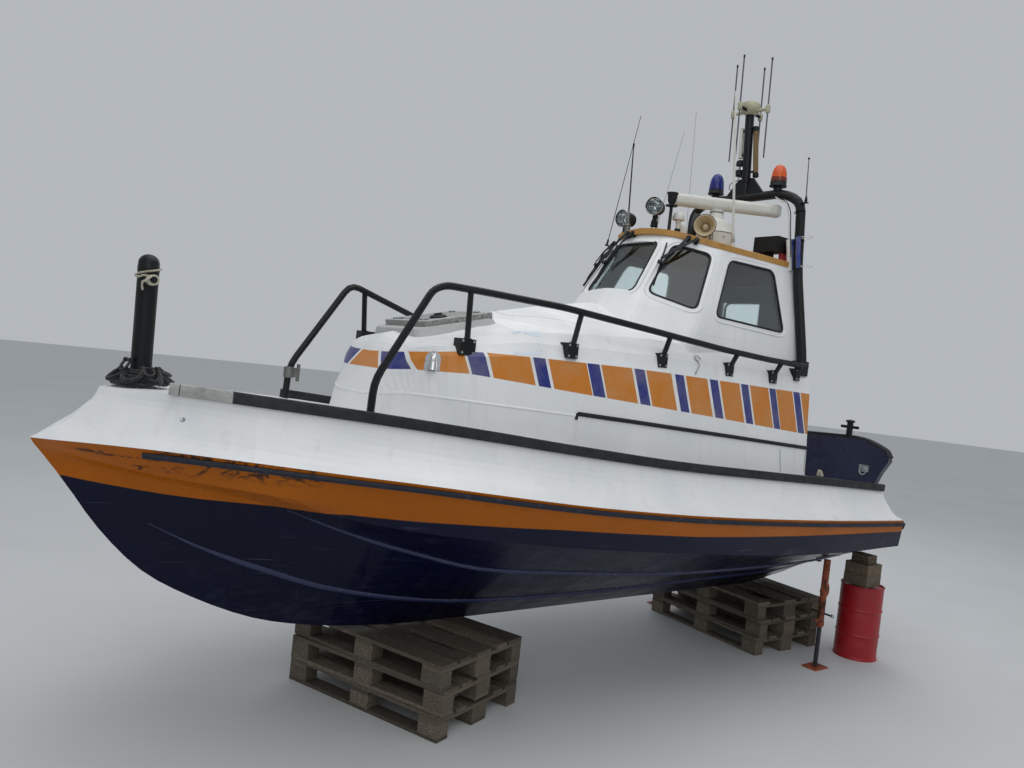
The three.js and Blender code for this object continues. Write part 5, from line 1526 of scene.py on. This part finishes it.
def mast_gear():
    """The mast's sleeve, tube, brackets, light, aerial and the whip on the arch."""
    lean = (D(-1820, 0, 4400) - D(ARCH_X, 0, MAST_FOOT)).normalized()
    p = Piece("mast_tubes")
    a = D(-1846, -66, 4050)
    p.add(lathe([(0, 0), (.0165, 0), (.018, .003), (.018, .244), (.0165, .248), (0, .248)], a, lean, 20),
          AGED, .2)
    foot = D(ARCH_X, 0, MAST_FOOT) + lean * .12
    p.add(lathe([(.0315, 0), (.036, .004), (.036, .55), (.0345, .556)], foot, lean, 36), BLACK)
    hi, lo = D(-1846, 56, 4290), D(-1876, 86, 3886)
    axis, n = (hi - lo).normalized(), (hi - lo).length
    p.add(lathe([(.0205, .02), (.0212, .1), (.0212, n - .1), (.0205, n - .02)], lo, axis, 24), BROWN)
    for h, w in ((-.004, .036), (n - .034, .038)):
        p.add(lathe([(0, h), (.016, h), (.0245, h + .006), (.0245, h + w), (.0205, h + w + .003)], lo, axis,
                    24), SATIN)

    def on_mast(z):
        return D(ARCH_X + (z - MAST_FOOT) * .0885, 0, z)

    for z in (4078, 4270):
        p.add(block((.02, .062, .02), on_mast(z) + Vector((.002, -.036, 0))), SATIN)
    for z in (3930, 4262):
        y = .086 - (z - 3886) * .000074
        p.add(block((.016, y, .016), on_mast(z) + Vector((0, y / 2, 0))), SATIN)
    p.done("black_metal", angle=40, bevel=.0008)
    lamp, at = Piece("mast_light"), D(-1862, -72, 3904)
    lamp.add(lathe([(0, 0), (.024, 0), (.034, .006), (.034, .048), (.030, .052)], at, UP, 32), SATIN)
    lamp.add(lathe([(.030, .052), (.031, .056), (.031, .084), (.030, .088)], at, UP, 32), CLEAR)
    lamp.add(lathe([(0, .05), (.008, .05), (.008, .082), (0, .086)], at, UP, 12), AGED)
    lamp.add(lathe([(.030, .086), (.035, .088), (.035, .122), (.026, .134), (0, .137)], at, UP, 32), SATIN)
    lamp.add(block((.05, .05, .008), at + Vector((.006, .034, -.004))), SATIN)
    lamp.done("black_metal", angle=40, bevel=.0006)
    lead = ((-.004, -.004, .002), (0, -.012, -.03), (0, -.075, -.05), (0, -.09, -.085), (0, -.055, -.115),
            (-.004, 0, -.105), (-.006, .03, -.115))
    cable("mast_light_lead", [at + Vector(v) for v in lead], .006, RUBBER, stiffness="medium", lay="hanging")
    cap, mid, tip = Piece("mast_aerial"), D(-1810, 8, 4418), Vector((.04, 0, 1)).normalized()
    cap.add(lathe([(.034, -.030), (.044, -.026), (.070, -.008), (.082, .014), (.082, .040), (.072, .064),
                   (.046, .080), (.02, .085), (0, .086)], mid, tip, 12), KHAKI)
    for k in range(4):
        a = math.radians(6 + 90 * k)
        q = mid + spoke(a) * .160
        cap.add(rod(mid, q, .0135, 14), KHAKI if k % 2 else SATIN)
        cap.add(lathe([(.008, -.034), (.016, -.030), (.0195, -.02), (.0195, .02), (.016, .030),
                       (.008, .034)], q, tip, 20), KHAKI)
        cap.add(lathe([(0, -.392), (.0062, -.390), (.0062, .396), (0, .398)], q, tip, 12), DULL)
        cap.add(lathe([(0, .388), (.0078, .389), (.0078, .410), (0, .412)], q, tip, 12), SATIN)
    cap.done("white_plastic", angle=30, replaces=("df_aerial",))
    whip = Piece("arch_whip")
    whip.add(block((.03, .06, .008), D(-1868, 578, 3626)), SATIN)
    foot = D(-1860, 597, 3630)
    whip.add(rod(foot, D(-1860, 580, 3965), .0048, 10, .0036), DULL)
    whip.add(lathe([(0, -.009), (.007, -.006), (.009, 0), (.007, .006), (0, .009)], D(-1860, 580, 3968), UP,
                   14), SATIN)
    whip.add(lathe([(.010, 0), (.012, .01), (.008, .04), (.0035, .045)], foot, UP, 14), SATIN)
    whip.done("black_metal", angle=40, bevel=.0008)


def flag():
    """A small cloth, limp, its hoist seized to the arch's leg."""
    height, fly, cols, rows = .245, .36, 96, 12
    verts, tones, at, ds = [], [], Vector((0.012, -.046, 0)), fly / cols
    line = [at.copy()]
    for k in range(cols):
        u = (k + .5) / cols
        th = 1.52 * math.cos(math.tau * 2.6 * u + .5) * min(1, .35 + 2.2 * u)
        at = at + Vector((math.sin(th) * ds, -math.cos(th) * ds, 0))
        line.append(at.copy())
    top, low = D(-1868, 640, 3365), D(-1868, 669, 3120)
    for k, q in enumerate(line):
        u = k / cols
        for j in range(rows + 1):
            v = j / rows
            p = top.lerp(low, v) + q + Vector((.006 * math.sin(5 * u + 3 * v), 0, -.075 * u ** 1.4))
            verts.append(tuple(p))
            tones.append(u)
    faces, step = [], rows + 1
    for k in range(cols):
        faces += [(k * step + j, (k + 1) * step + j, (k + 1) * step + j + 1, k * step + j + 1)
                  for j in range(rows)]
    p = Piece("small_flag")
    p.verts, p.faces, p.mats, p.ids, p.tones = verts, faces, [FLAG], [0] * len(faces), tones
    obj = p.done("seat_cloth", angle=180, weld=False)
    ties = Piece("flag_ties")
    for t in (.04, .96):
        q = top.lerp(low, t)
        tie = [q + Vector(v) for v in ((.012, -.05, 0), (.03, -.03, .002), (.042, 0, 0))]
        ties.add(wire(tie, .0018, 6, .006), AGED)
        ties.add(torus(q, top - low, .0395, .0022, 28, 6), AGED)
    ties.done("rope", angle=60)


horn_details()
radar_details()
roof_small()
whips()
beacons()
mast_gear()
flag()


# Stern and cockpit
def stern_details():
    """The bulwark's capping, lifting rings, rope ends, the jet's bolts and the exhaust."""
    p = Piece("bulwark_capping")
    pts = [(902, 1703), (884, 1730), (862, 1759), (776, 1796), (690, 1823), (625, 1832), (560, 1836),
           (280, 1826), (0, 1814)]
    full = pts + [(-y, z) for y, z in reversed(pts[:-1])]
    p.add(sweep(smooth([D(-3021, y, z) for y, z in full], .03), rounded(.076, .022, .009, 3), up=FORWARD),
          RUBBER)
    p.done("black_rubber", angle=50)
    ring = Piece("lifting_rings")
    for m in (1, -1):
        at = D(-2984, 702 * m, 1582)
        ring.add(prism(oblong(.045, .03), .006, at, PORTWARD, UP), STEEL)
        ring.add(torus(at + Vector((.012, 0, -.022)), (1, 0, .3), .030, .0055, 32, 8), STEEL)
        for a, b in ((-.034, -.019), (.034, -.019), (-.034, .019), (.034, .019)):
            ring.add(bolt(at + Vector((.003, a, b)), FORWARD, .005, .004), STEEL)
    ring.done("bright_steel", angle=40, bevel=.0006)
    bits = Piece("white_rope_ends")
    for y, a in ((296, .3), (322, -.4)):
        q = D(-2972, y, 1472)
        bits.add(lathe([(0, -.030), (.010, -.028), (.014, -.02), (.014, .02), (.010, .028), (0, .030)], q,
                       (.2, a, 1), 14), ROPE_LIGHT)
        bits.add(rod(q + Vector((.004, 0, -.02)), q + Vector((-.014, .004, -.002)), .004, 8), ROPE_LIGHT)
    bits.done("rope", angle=60)
    jet = Piece("jet_bolts")
    for k in range(10):
        a = math.tau * k / 10
        jet.add(bolt(D(TRANSOM - 3, 128 * math.cos(a), 760 + 128 * math.sin(a)), AFT, .008, .008), STEEL)
    for y in (-420, 420):
        jet.add(lathe([(0, 0), (.018, 0), (.022, .003), (.012, .014), (0, .014)], D(TRANSOM - 3, y, 930),
                      AFT, 20), STEEL)
    jet.done("bright_steel", angle=40)
    out = Piece("exhaust_outlet")
    out.add(lathe([(.055, -.004), (.055, .003), (.043, .006), (.043, .03), (.038, .03), (.038, -.002),
                   (0, -.002)], D(TRANSOM - 3, -300, 1010), AFT, 32), STEEL)
    out.done("bright_steel", angle=40)


def sole_hatch():
    """The engine hatch's tread and its two flush rings, on the lid as it was made."""
    p = Piece("engine_hatch_tread")
    lid = NODES["engine_hatch"]
    points = [lid.matrix_world @ v.co for v in lid.data.vertices]
    lo, hi = min(q.x for q in points), max(q.x for q in points)
    mid, wide = Vector(((lo + hi) / 2, 0, max(q.z for q in points))), 2 * max(q.y for q in points)
    rings = []
    for grow, h in ((-.020, -.001), (-.022, .0022), (-.03, .003)):
        outline = rounded(hi - lo + 2 * grow, wide + 2 * grow, .04, 5)
        rings.append([mid + Vector((a, b, h)) for a, b in outline])
    p.add(skin(rings), NONSLIP)
    for s in (-1, 1):
        q = mid + Vector((.27 * s, .2, .003))
        p.add(lathe([(.034, 0), (.034, .003), (.026, .0035), (.025, .001), (0, .001)], q, UP, 28), STEEL)
        p.add(torus(q + Vector((0, 0, .002)), UP, .019, .0022, 28, 6), STEEL)
    p.done("grey_paint", "engine_hatch", 40)


def door_details():
    """The door's handles and lock, the window's gasket and the seal round the doorway."""
    p = Piece("door_fittings")
    p.add(rod(D(-2037, -251, 2020), D(-2037, -251, 2100), .009, 14), STEEL)
    p.add(lathe([(.028, 0), (.028, .005), (.016, .008), (.014, .03)], D(-2029, -251, 2060), AFT, 20), STEEL)
    p.add(block((.014, .11, .02), D(-2066, -205, 2060)), STEEL)
    p.add(lathe([(.012, 0), (.012, .004), (.006, .005)], D(-2029, -251, 1975), AFT, 16), STEEL)
    p.done("bright_steel", "aft_door", 40, .001)
    seal = Piece("door_window_gasket")
    rings = []
    for grow, d in ((-.006, 0), (-.006, .004), (.012, .004), (.016, 0)):
        outline = rounded(.38 + 2 * grow, .61 + 2 * grow, .05 + grow, 5)
        rings.append([D(-2034, 0, 2555) + Vector((-d, a, b)) for a, b in outline])
    seal.add(skin(rings, True), RUBBER)
    seal.done("black_rubber", "aft_door", 50)
    edge = Piece("door_edge_seal")
    pts = [D(-2004, y, z) for y, z in ((-296, 1325), (-296, 3004), (296, 3004), (296, 1325))]
    edge.add(sweep(pts, rounded(.008, .012, .003, 2)), RUBBER)
    edge.done("black_rubber", "boat", 40)


stern_details()
sole_hatch()
door_details()


# Cradle: pallets, drums, blocks and props
WOOD_X = weathered_wood("weathered_wood_across", "8d8272", "3a332b", (3.5, 26, 26))
TIMBER = weathered_wood("new_timber", "d0b285", "7a6040", (26, 26, 3.5))
OLD_TIMBER = weathered_wood("old_timber", "8c7558", "3a2c20", (26, 5, 26))


def pallet(name, x, y, yaw, z, seed):
    """A pallet of boards and blocks, with nails, by its middle and its turn in degrees."""
    rnd = random.Random(seed)
    rows, half, end = (-528, 0, 528), 72, 600
    turn, at = Matrix.Rotation(math.radians(yaw), 3, "Z"), D(x, y, z)
    p = Piece(name + "_boards")

    def board(x0, x1, y0, y1, z0, z1, mat, slack=3):
        j = [rnd.uniform(-slack, 0) for _ in range(4)]
        x0, x1, y0, y1 = x0 - j[0] * .4, x1 + j[1] * .4, y0 - j[2], y1 + j[3]
        mid = Vector(((x0 + x1) / 2, (y0 + y1) / 2, (z0 + z1) / 2)) / 1000
        tilt = Matrix.Rotation(math.radians(rnd.uniform(-.18, .18)), 3, "Z")
        size = (x1 - x0) / 1000, (y1 - y0) / 1000, (z1 - z0) / 1000
        p.add(block(size, at + turn @ mid, turn @ tilt), mat, rnd.random())

    nails = []
    for px, h in ((-350, 50), (0, 72), (350, 50)):
        board(px - h, px + h, -end, end, .3, 22, WOOD)
        for py in rows:
            board(px - h, px + h, py - half, py + half, 22.2, 100, WOOD)
    for py in rows:
        board(-400, 400, py - half, py + half, 100.2, 122, WOOD_X)
    for px, h in ((-328, 72), (-185, 50), (0, 72), (185, 50), (328, 72)):
        if rnd.random() < .9 or px in (-328, 328):
            board(px - h + 1, px + h - 1, -end, end, 122.2, 143.6, WOOD)
        for py in rows:
            nails += [(px - h * .5, py - 30), (px + h * .5, py + 30)]
    for a, b in nails:
        q = at + turn @ Vector((a / 1000, b / 1000, .1436))
        p.add(lathe([(.0042, 0), (.0042, .0006), (0, .0008)], q, UP, 8), DARK_STEEL)
    p.done("old_wood", angle=35, bevel=.0018, replaces=(name,))


def pallets():
    for stack, x, y, yaw in (("front", 930, 0, 19.4), ("rear", -2500, -100, -3)):
        for i in range(3):
            seed = 7 * i + (stack == "rear") * 50 + 3
            pallet(f"pallet_{stack}_{i + 1}", x, y, yaw + (0, 1.5, -1)[i], i * PALLET_HEIGHT, seed)


def drum(side, y):
    """A dented drum; the dents are drawn at random, each with its angle, height, width, length and depth."""
    at = D(DRUM_X, y, 0)
    rnd = random.Random(side)
    limits = ((0, math.tau), (.06, .56), (.35, .7), (.03, .06), (.002, .005))
    dents = [[rnd.uniform(lo, hi) for lo, hi in limits] for _ in range(9)]

    def wobble(q, z, a):
        if q < .15:
            return q
        for ang, hz, wide, tall, deep in dents:
            d = ((a - ang + math.pi) % math.tau - math.pi) / wide, (z - hz) / tall
            q -= deep * math.exp(-(d[0] ** 2 + d[1] ** 2) * 2)
        return q

    profile = [(0, .012), (.150, .012), (.166, .010), (.1675, 0), (.1745, 0), (.1755, .004), (.1735, .012),
               (.1705, .018)]
    z = .018
    while z < .594:
        z += .008
        rib = max(math.exp(-((z - c) / .0075) ** 2) for c in (.2, .41)) * .0075
        small = sum(math.exp(-((z - c) / .004) ** 2) for c in (.30, .318, .51, .526)) * .0012
        profile.append((.1695 + rib + small, z))
    lid = .5968
    profile += [(.1705, .600), (.1745, .603), (.1755, .608), (.1735, .6118), (.1685, .6118), (.1665, .606),
                (.165, .598), (.150, .5965), (.100, lid), (0, lid)]
    p = Piece(f"drum_shell_{side}")
    p.add(lathe(profile, at, UP, 72, wobble), RED)
    for a, r2, big in ((.6, .118, .028), (3.6, .125, .013)):
        q = at + Vector((math.cos(a) * r2, math.sin(a) * r2, lid))
        p.add(lathe([(big + .006, 0), (big + .005, .005), (big, .006), (big * .9, .004), (0, .004)], q, UP,
                    24), DARK_STEEL)
        p.add(block((big * 1.3, .004, .003), q + Vector((0, 0, .0055))), DARK_STEEL)
    p.done("drum_red", angle=30, replaces=("drum_" + side,))


def prop(side, s):
    """A screw prop: foot plate, thread, tube, nut, pin, lever and head plate under the hull."""
    y, p = 840 * s, Piece("prop_stand_" + side)
    at = D(PROP_X, y, 0)
    head, normal = land(HULL_SKIN, D(PROP_X, y, 700), UP)
    top = head.z
    p.add(lathe([(.017, .010), (.017, .482)], at, UP, 24), DARK_STEEL)
    p.add(lathe([(.0175, .330), (.0255, .330), (.0262, .334), (.0262, top - .030)], at, UP, 32), RUSTY)
    p.add(lathe([(.0262, .342), (.031, .344), (.031, .372), (.0262, .374)], at, UP, 32), RUSTY)
    for k in range(9):
        p.add(torus(at + Vector((0, 0, .356)) - UP * (.012 + .0125 * k) - UP * .03, UP, .0172, .0012, 24, 5),
              DARK_STEEL)
    p.add(skin([[at + Vector((a, b, h)) for a, b in rounded(.180, .130, .006, 2)] for h in (.0006, .0095)]),
          RUSTY)
    for a, b in ((-.07, -.045), (.07, -.045), (-.07, .045), (.07, .045)):
        p.add(lathe([(.008, .0095), (.008, .0102), (0, .0103)], at + Vector((a, b, 0)), UP, 14), DARK_STEEL)
    right = (FORWARD - normal * FORWARD.dot(normal)).normalized()
    p.add(prism(oblong(.085, .055), .008, head + normal * .0055, right, normal.cross(right)), GALV)
    p.add(prism([(0, .330), (.090, .394), (.090, .400), (0, .400)], .010, at, FORWARD, UP), RUSTY)
    p.add(rod(at + Vector((0, -.09, .440)), at + Vector((0, .09, .440)), .0075, 14), DARK_STEEL)
    p.add(torus(at + Vector((0, .094, .440)), FORWARD, .012, .003, 20, 6), DARK_STEEL)
    hook = ((-.02, .575), (-.045, .572), (-.066, .60), (-.058, .65), (-.03, .688))
    path = smooth([at + Vector((a, 0, b)) for a, b in hook], .008)
    p.add(sweep(path, rounded(.012, .016, .004, 2)), RUSTY)
    p.add(lathe([(.0262, .600), (.030, .602), (.030, .628), (.0262, .630)], at, UP, 28), RUSTY)
    for k in range(5):
        a = Vector((.0262 * math.cos(k * 1.3 + .4), .0262 * math.sin(k * 1.3 + .4), .45 + .09 * k))
        p.add(lathe([(.0058, -.001), (.0058, .0008), (0, .0009)], at + a, (a.x, a.y, 0), 12), DARK_STEEL)
    p.done("prop_rust", angle=40, bevel=.0008, replaces=("prop_" + side,))


def timber(side, y):
    """The blocks between a drum and the hull, from the thickest up."""
    rnd = random.Random(side + "t")
    under = [(-85, 135, -105, 105, 612.6, 706, OLD_TIMBER), (-83, 132, -103, 104, 706.6, 799, TIMBER)]
    p = Piece("drum_blocks_" + side)
    for x0, x1, y0, y1, z0, z1, mat in under:
        a, b = D(DRUM_X + x0, y + y0, z0), D(DRUM_X + x1, y + y1, z1)
        turn = Matrix.Rotation(math.radians(rnd.uniform(-1.5, 1.5)), 3, "Z")
        p.add(block([abs(v) for v in b - a], (a + b) / 2, turn), mat, rnd.random() * .6)
    z = 799.6
    for k in range(4):
        x0, x1, y0, y1 = -45 + 5 * k, 100 - 4 * k, -75, 75
        spots = [D(DRUM_X + a, y + b, 700) for a in (x0, x1, (x0 + x1) / 2) for b in (y0, y1)]
        low = min(land(HULL_SKIN, q, UP)[0].z for q in spots)
        tall = min(44, low * 1000 - 1.2 - z)
        if tall < 6:
            break
        a, b = D(DRUM_X + x0, y + y0, z), D(DRUM_X + x1, y + y1, z + tall - .5)
        turn = Matrix.Rotation(math.radians(rnd.uniform(-2.5, 2.5)), 3, "Z")
        mat = (OLD_TIMBER, TIMBER, WOOD_X, WOOD_X)[k]
        p.add(block([abs(v) for v in b - a], (a + b) / 2, turn), mat, rnd.random() * .5)
        z += tall
    p.done("old_wood", angle=35, bevel=.003, replaces=("drum_block_" + side,))


pallets()
for SIDE, SIGN in SIDES:
    DRUM_Y = 800 if SIGN > 0 else -870
    drum(SIDE, DRUM_Y)
    timber(SIDE, DRUM_Y)
    prop(SIDE, SIGN)


# Inside the cabin
def pad_mesh(name, lo, hi, round_by, mat, grow):
    """A stuffed pad: a rounded block, remeshed and swelled under pressure, but by no more than a limit."""
    frames, voxel, cap = 20, .008, .010
    a, b = D(*lo), D(*hi)
    mid, p = (a + b) / 2, Piece(name)
    x, y, z = (abs(v) for v in b - a)
    rings = []
    for h, k in ((-.5, .70), (-.49, .86), (-.38, .97), (0, 1.0), (.38, .97), (.49, .86), (.5, .70)):
        w, d = x - (1 - k) * round_by * 2, y - (1 - k) * round_by * 2
        outline = rounded(w, d, min(round_by, w * .45, d * .45), 5)
        rings.append([mid + Vector((u, v, z * h)) for u, v in outline])
    p.add(skin(rings), mat)
    obj = p.done("seat_cloth", angle=180)
    bpy.context.view_layer.objects.active = obj
    for o in bpy.context.selected_objects:
        o.select_set(False)
    obj.select_set(True)
    m = obj.modifiers.new("remesh", "REMESH")
    m.mode, m.voxel_size = "VOXEL", voxel
    bpy.ops.object.modifier_apply(modifier=m.name)
    start = [v.co.copy() for v in obj.data.vertices]
    low = min(v.z for v in start)
    group = obj.vertex_groups.new(name="held")
    held = [i for i, v in enumerate(start) if abs(v.z - low) < .006]
    group.add(held, 1.0, "REPLACE")
    c = obj.modifiers.new("Cloth", "CLOTH")
    c.settings.use_pressure, c.settings.uniform_pressure_force = True, grow
    c.settings.effector_weights.gravity = 0
    c.settings.vertex_group_mass = "held"
    c.settings.quality = 5
    c.point_cache.frame_start, c.point_cache.frame_end = 1, frames
    for k in range(1, frames + 1):
        SCENE.frame_set(k)
    deps = bpy.context.evaluated_depsgraph_get()
    moved = [v.co.copy() for v in obj.evaluated_get(deps).data.vertices]
    obj.modifiers.remove(c)
    SCENE.frame_set(1)
    for v, s, e in zip(obj.data.vertices, start, moved):
        d = e - s
        v.co = s + (d * (cap / d.length) if d.length > cap else d)
    obj.vertex_groups.clear()
    obj.data.shade_smooth()
    return obj


def seats():
    """Two seats: stand, cushion, back and piping."""
    for side, m in SIDES:
        y0, y1 = (112, 508) if m > 0 else (-508, -112)
        cushion = pad_mesh("seat_cushion_" + side, (-1672, y0, 1796), (-1288, y1, 1884), .045, VINYL, 4)
        b0, b1 = (126, 494) if m > 0 else (-494, -126)
        back = pad_mesh("seat_back_" + side, (-1694, b0, 1862), (-1626, b1, 2334), .034, VINYL, 4)
        for o in (cushion, back):
            s = o.modifiers.new("round", "SUBSURF")
            s.levels = s.render_levels = 1
        p = Piece("seat_stand_" + side)
        at, foot = D(SEAT_X, 310 * m, 0), NODES["seat_" + side]
        at.z = min((foot.matrix_world @ v.co).z for v in foot.data.vertices)
        h = D(0, 0, 1790).z - at.z
        p.add(lathe([(0, .0005), (.128, .0005), (.130, .004), (.128, .010), (.052, .018), (.044, .03),
                     (.0435, h * .55), (.036, h * .56), (.036, h - .012), (.09, h - .008), (.09, h)], at, UP,
                    36), STEEL)
        p.add(torus(at + Vector((0, 0, h * .55)), UP, .043, .004, 32, 6), SATIN)
        for k in range(6):
            a = math.tau * k / 6
            p.add(bolt(at + Vector((math.cos(a) * .108, math.sin(a) * .108, .0125)), UP, .007, .006), STEEL)
        p.add(span((-1660, y0 + 20, 1790), (-1300, y1 - 20, 1797)), SATIN)
        for yy in (y0 + 60, y1 - 60):
            p.add(span((-1712, yy - 15, 1800), (-1700, yy + 15, 2260)), SATIN)
            p.add(span((-1712, yy - 15, 1792), (-1640, yy + 15, 1800)), SATIN)
        p.done("seat_cloth", angle=40, bevel=.002)
        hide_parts("seat_" + side)
        trim = Piece("seat_piping_" + side)
        for z in (1822, 1858):
            mid = D(SEAT_X, (y0 + y1) / 2, z)
            ring = [mid + Vector((a, b, 0)) for a, b in rounded(.392, .404, .05, 5)]
            trim.add(wire(ring, .0032, 6, .012, True), PIPING)
        trim.done("seat_cloth", angle=180)


def console_details():
    """Screens, switches, throttles and compass on the console, and the wheel's hub."""
    p = Piece("console_instruments")
    slope = (D(-840, 0, 2360) - D(-960, 0, 2270)).normalized()
    out = Vector((-slope.z, 0, slope.x))
    face = D(-900, 0, 2315)

    def on(u, y, h=0.0):
        return face + slope * u + Vector((0, y / 1000, 0)) + out * h

    for y, w in ((-430, .17), (-220, .15)):
        for size, h, mat in ((0.0, .010, SATIN), (-.012, .0115, PANE)):
            deep = .004 if h > .01 else .018
            p.add(prism(oblong(w / 2 + size, .05 + size), deep, on(.008, y, h), PORTWARD, slope), mat)
    for k in range(6):
        q = on(-.062, -500 + 24 * k, .002)
        p.add(lathe([(.007, 0), (.007, .004), (.003, .006), (.003, .018), (0, .019)], q, out, 12), STEEL)
    q = on(0, -110)
    p.add(block((.05, .06, .03), q + out * .015), SATIN)
    knob = [(0, -.014), (.011, -.01), (.014, 0), (.011, .012), (0, .016)]
    for d in (-.013, .013):
        p.add(rod(q + Vector((0, d, .02)), q + Vector((.045, d, .125)), .005, 12), STEEL)
        p.add(lathe(knob, q + Vector((.047, d, .130)), (.3, 0, 1), 16), SATIN)
    dome = [(.040, 0), (.042, .012), (.034, .02), (.030, .040), (.016, .052), (0, .055)]
    p.add(lathe(dome, on(.03, -320), out, 24), SATIN)
    p.done("grey_paint", angle=40, bevel=.0012)
    hub = Piece("wheel_hub")
    hub.add(lathe([(.038, .012), (.036, .018), (.02, .022), (0, .023)], D(-1020, -310, 2225), AFT, 24), SATIN)
    hub.done("black_metal", "helm_wheel", 40)


seats()
console_details()


for NAME, WIDTH in (("bow_post", .004), ("helm_console", .006), ("stern_bitt_port", .002),
                    ("stern_bitt_starboard", .002), ("aft_door", .003), ("engine_hatch", .003),
                    ("engine", .006)):
    soften(NODES[NAME], "softened", WIDTH, 2)
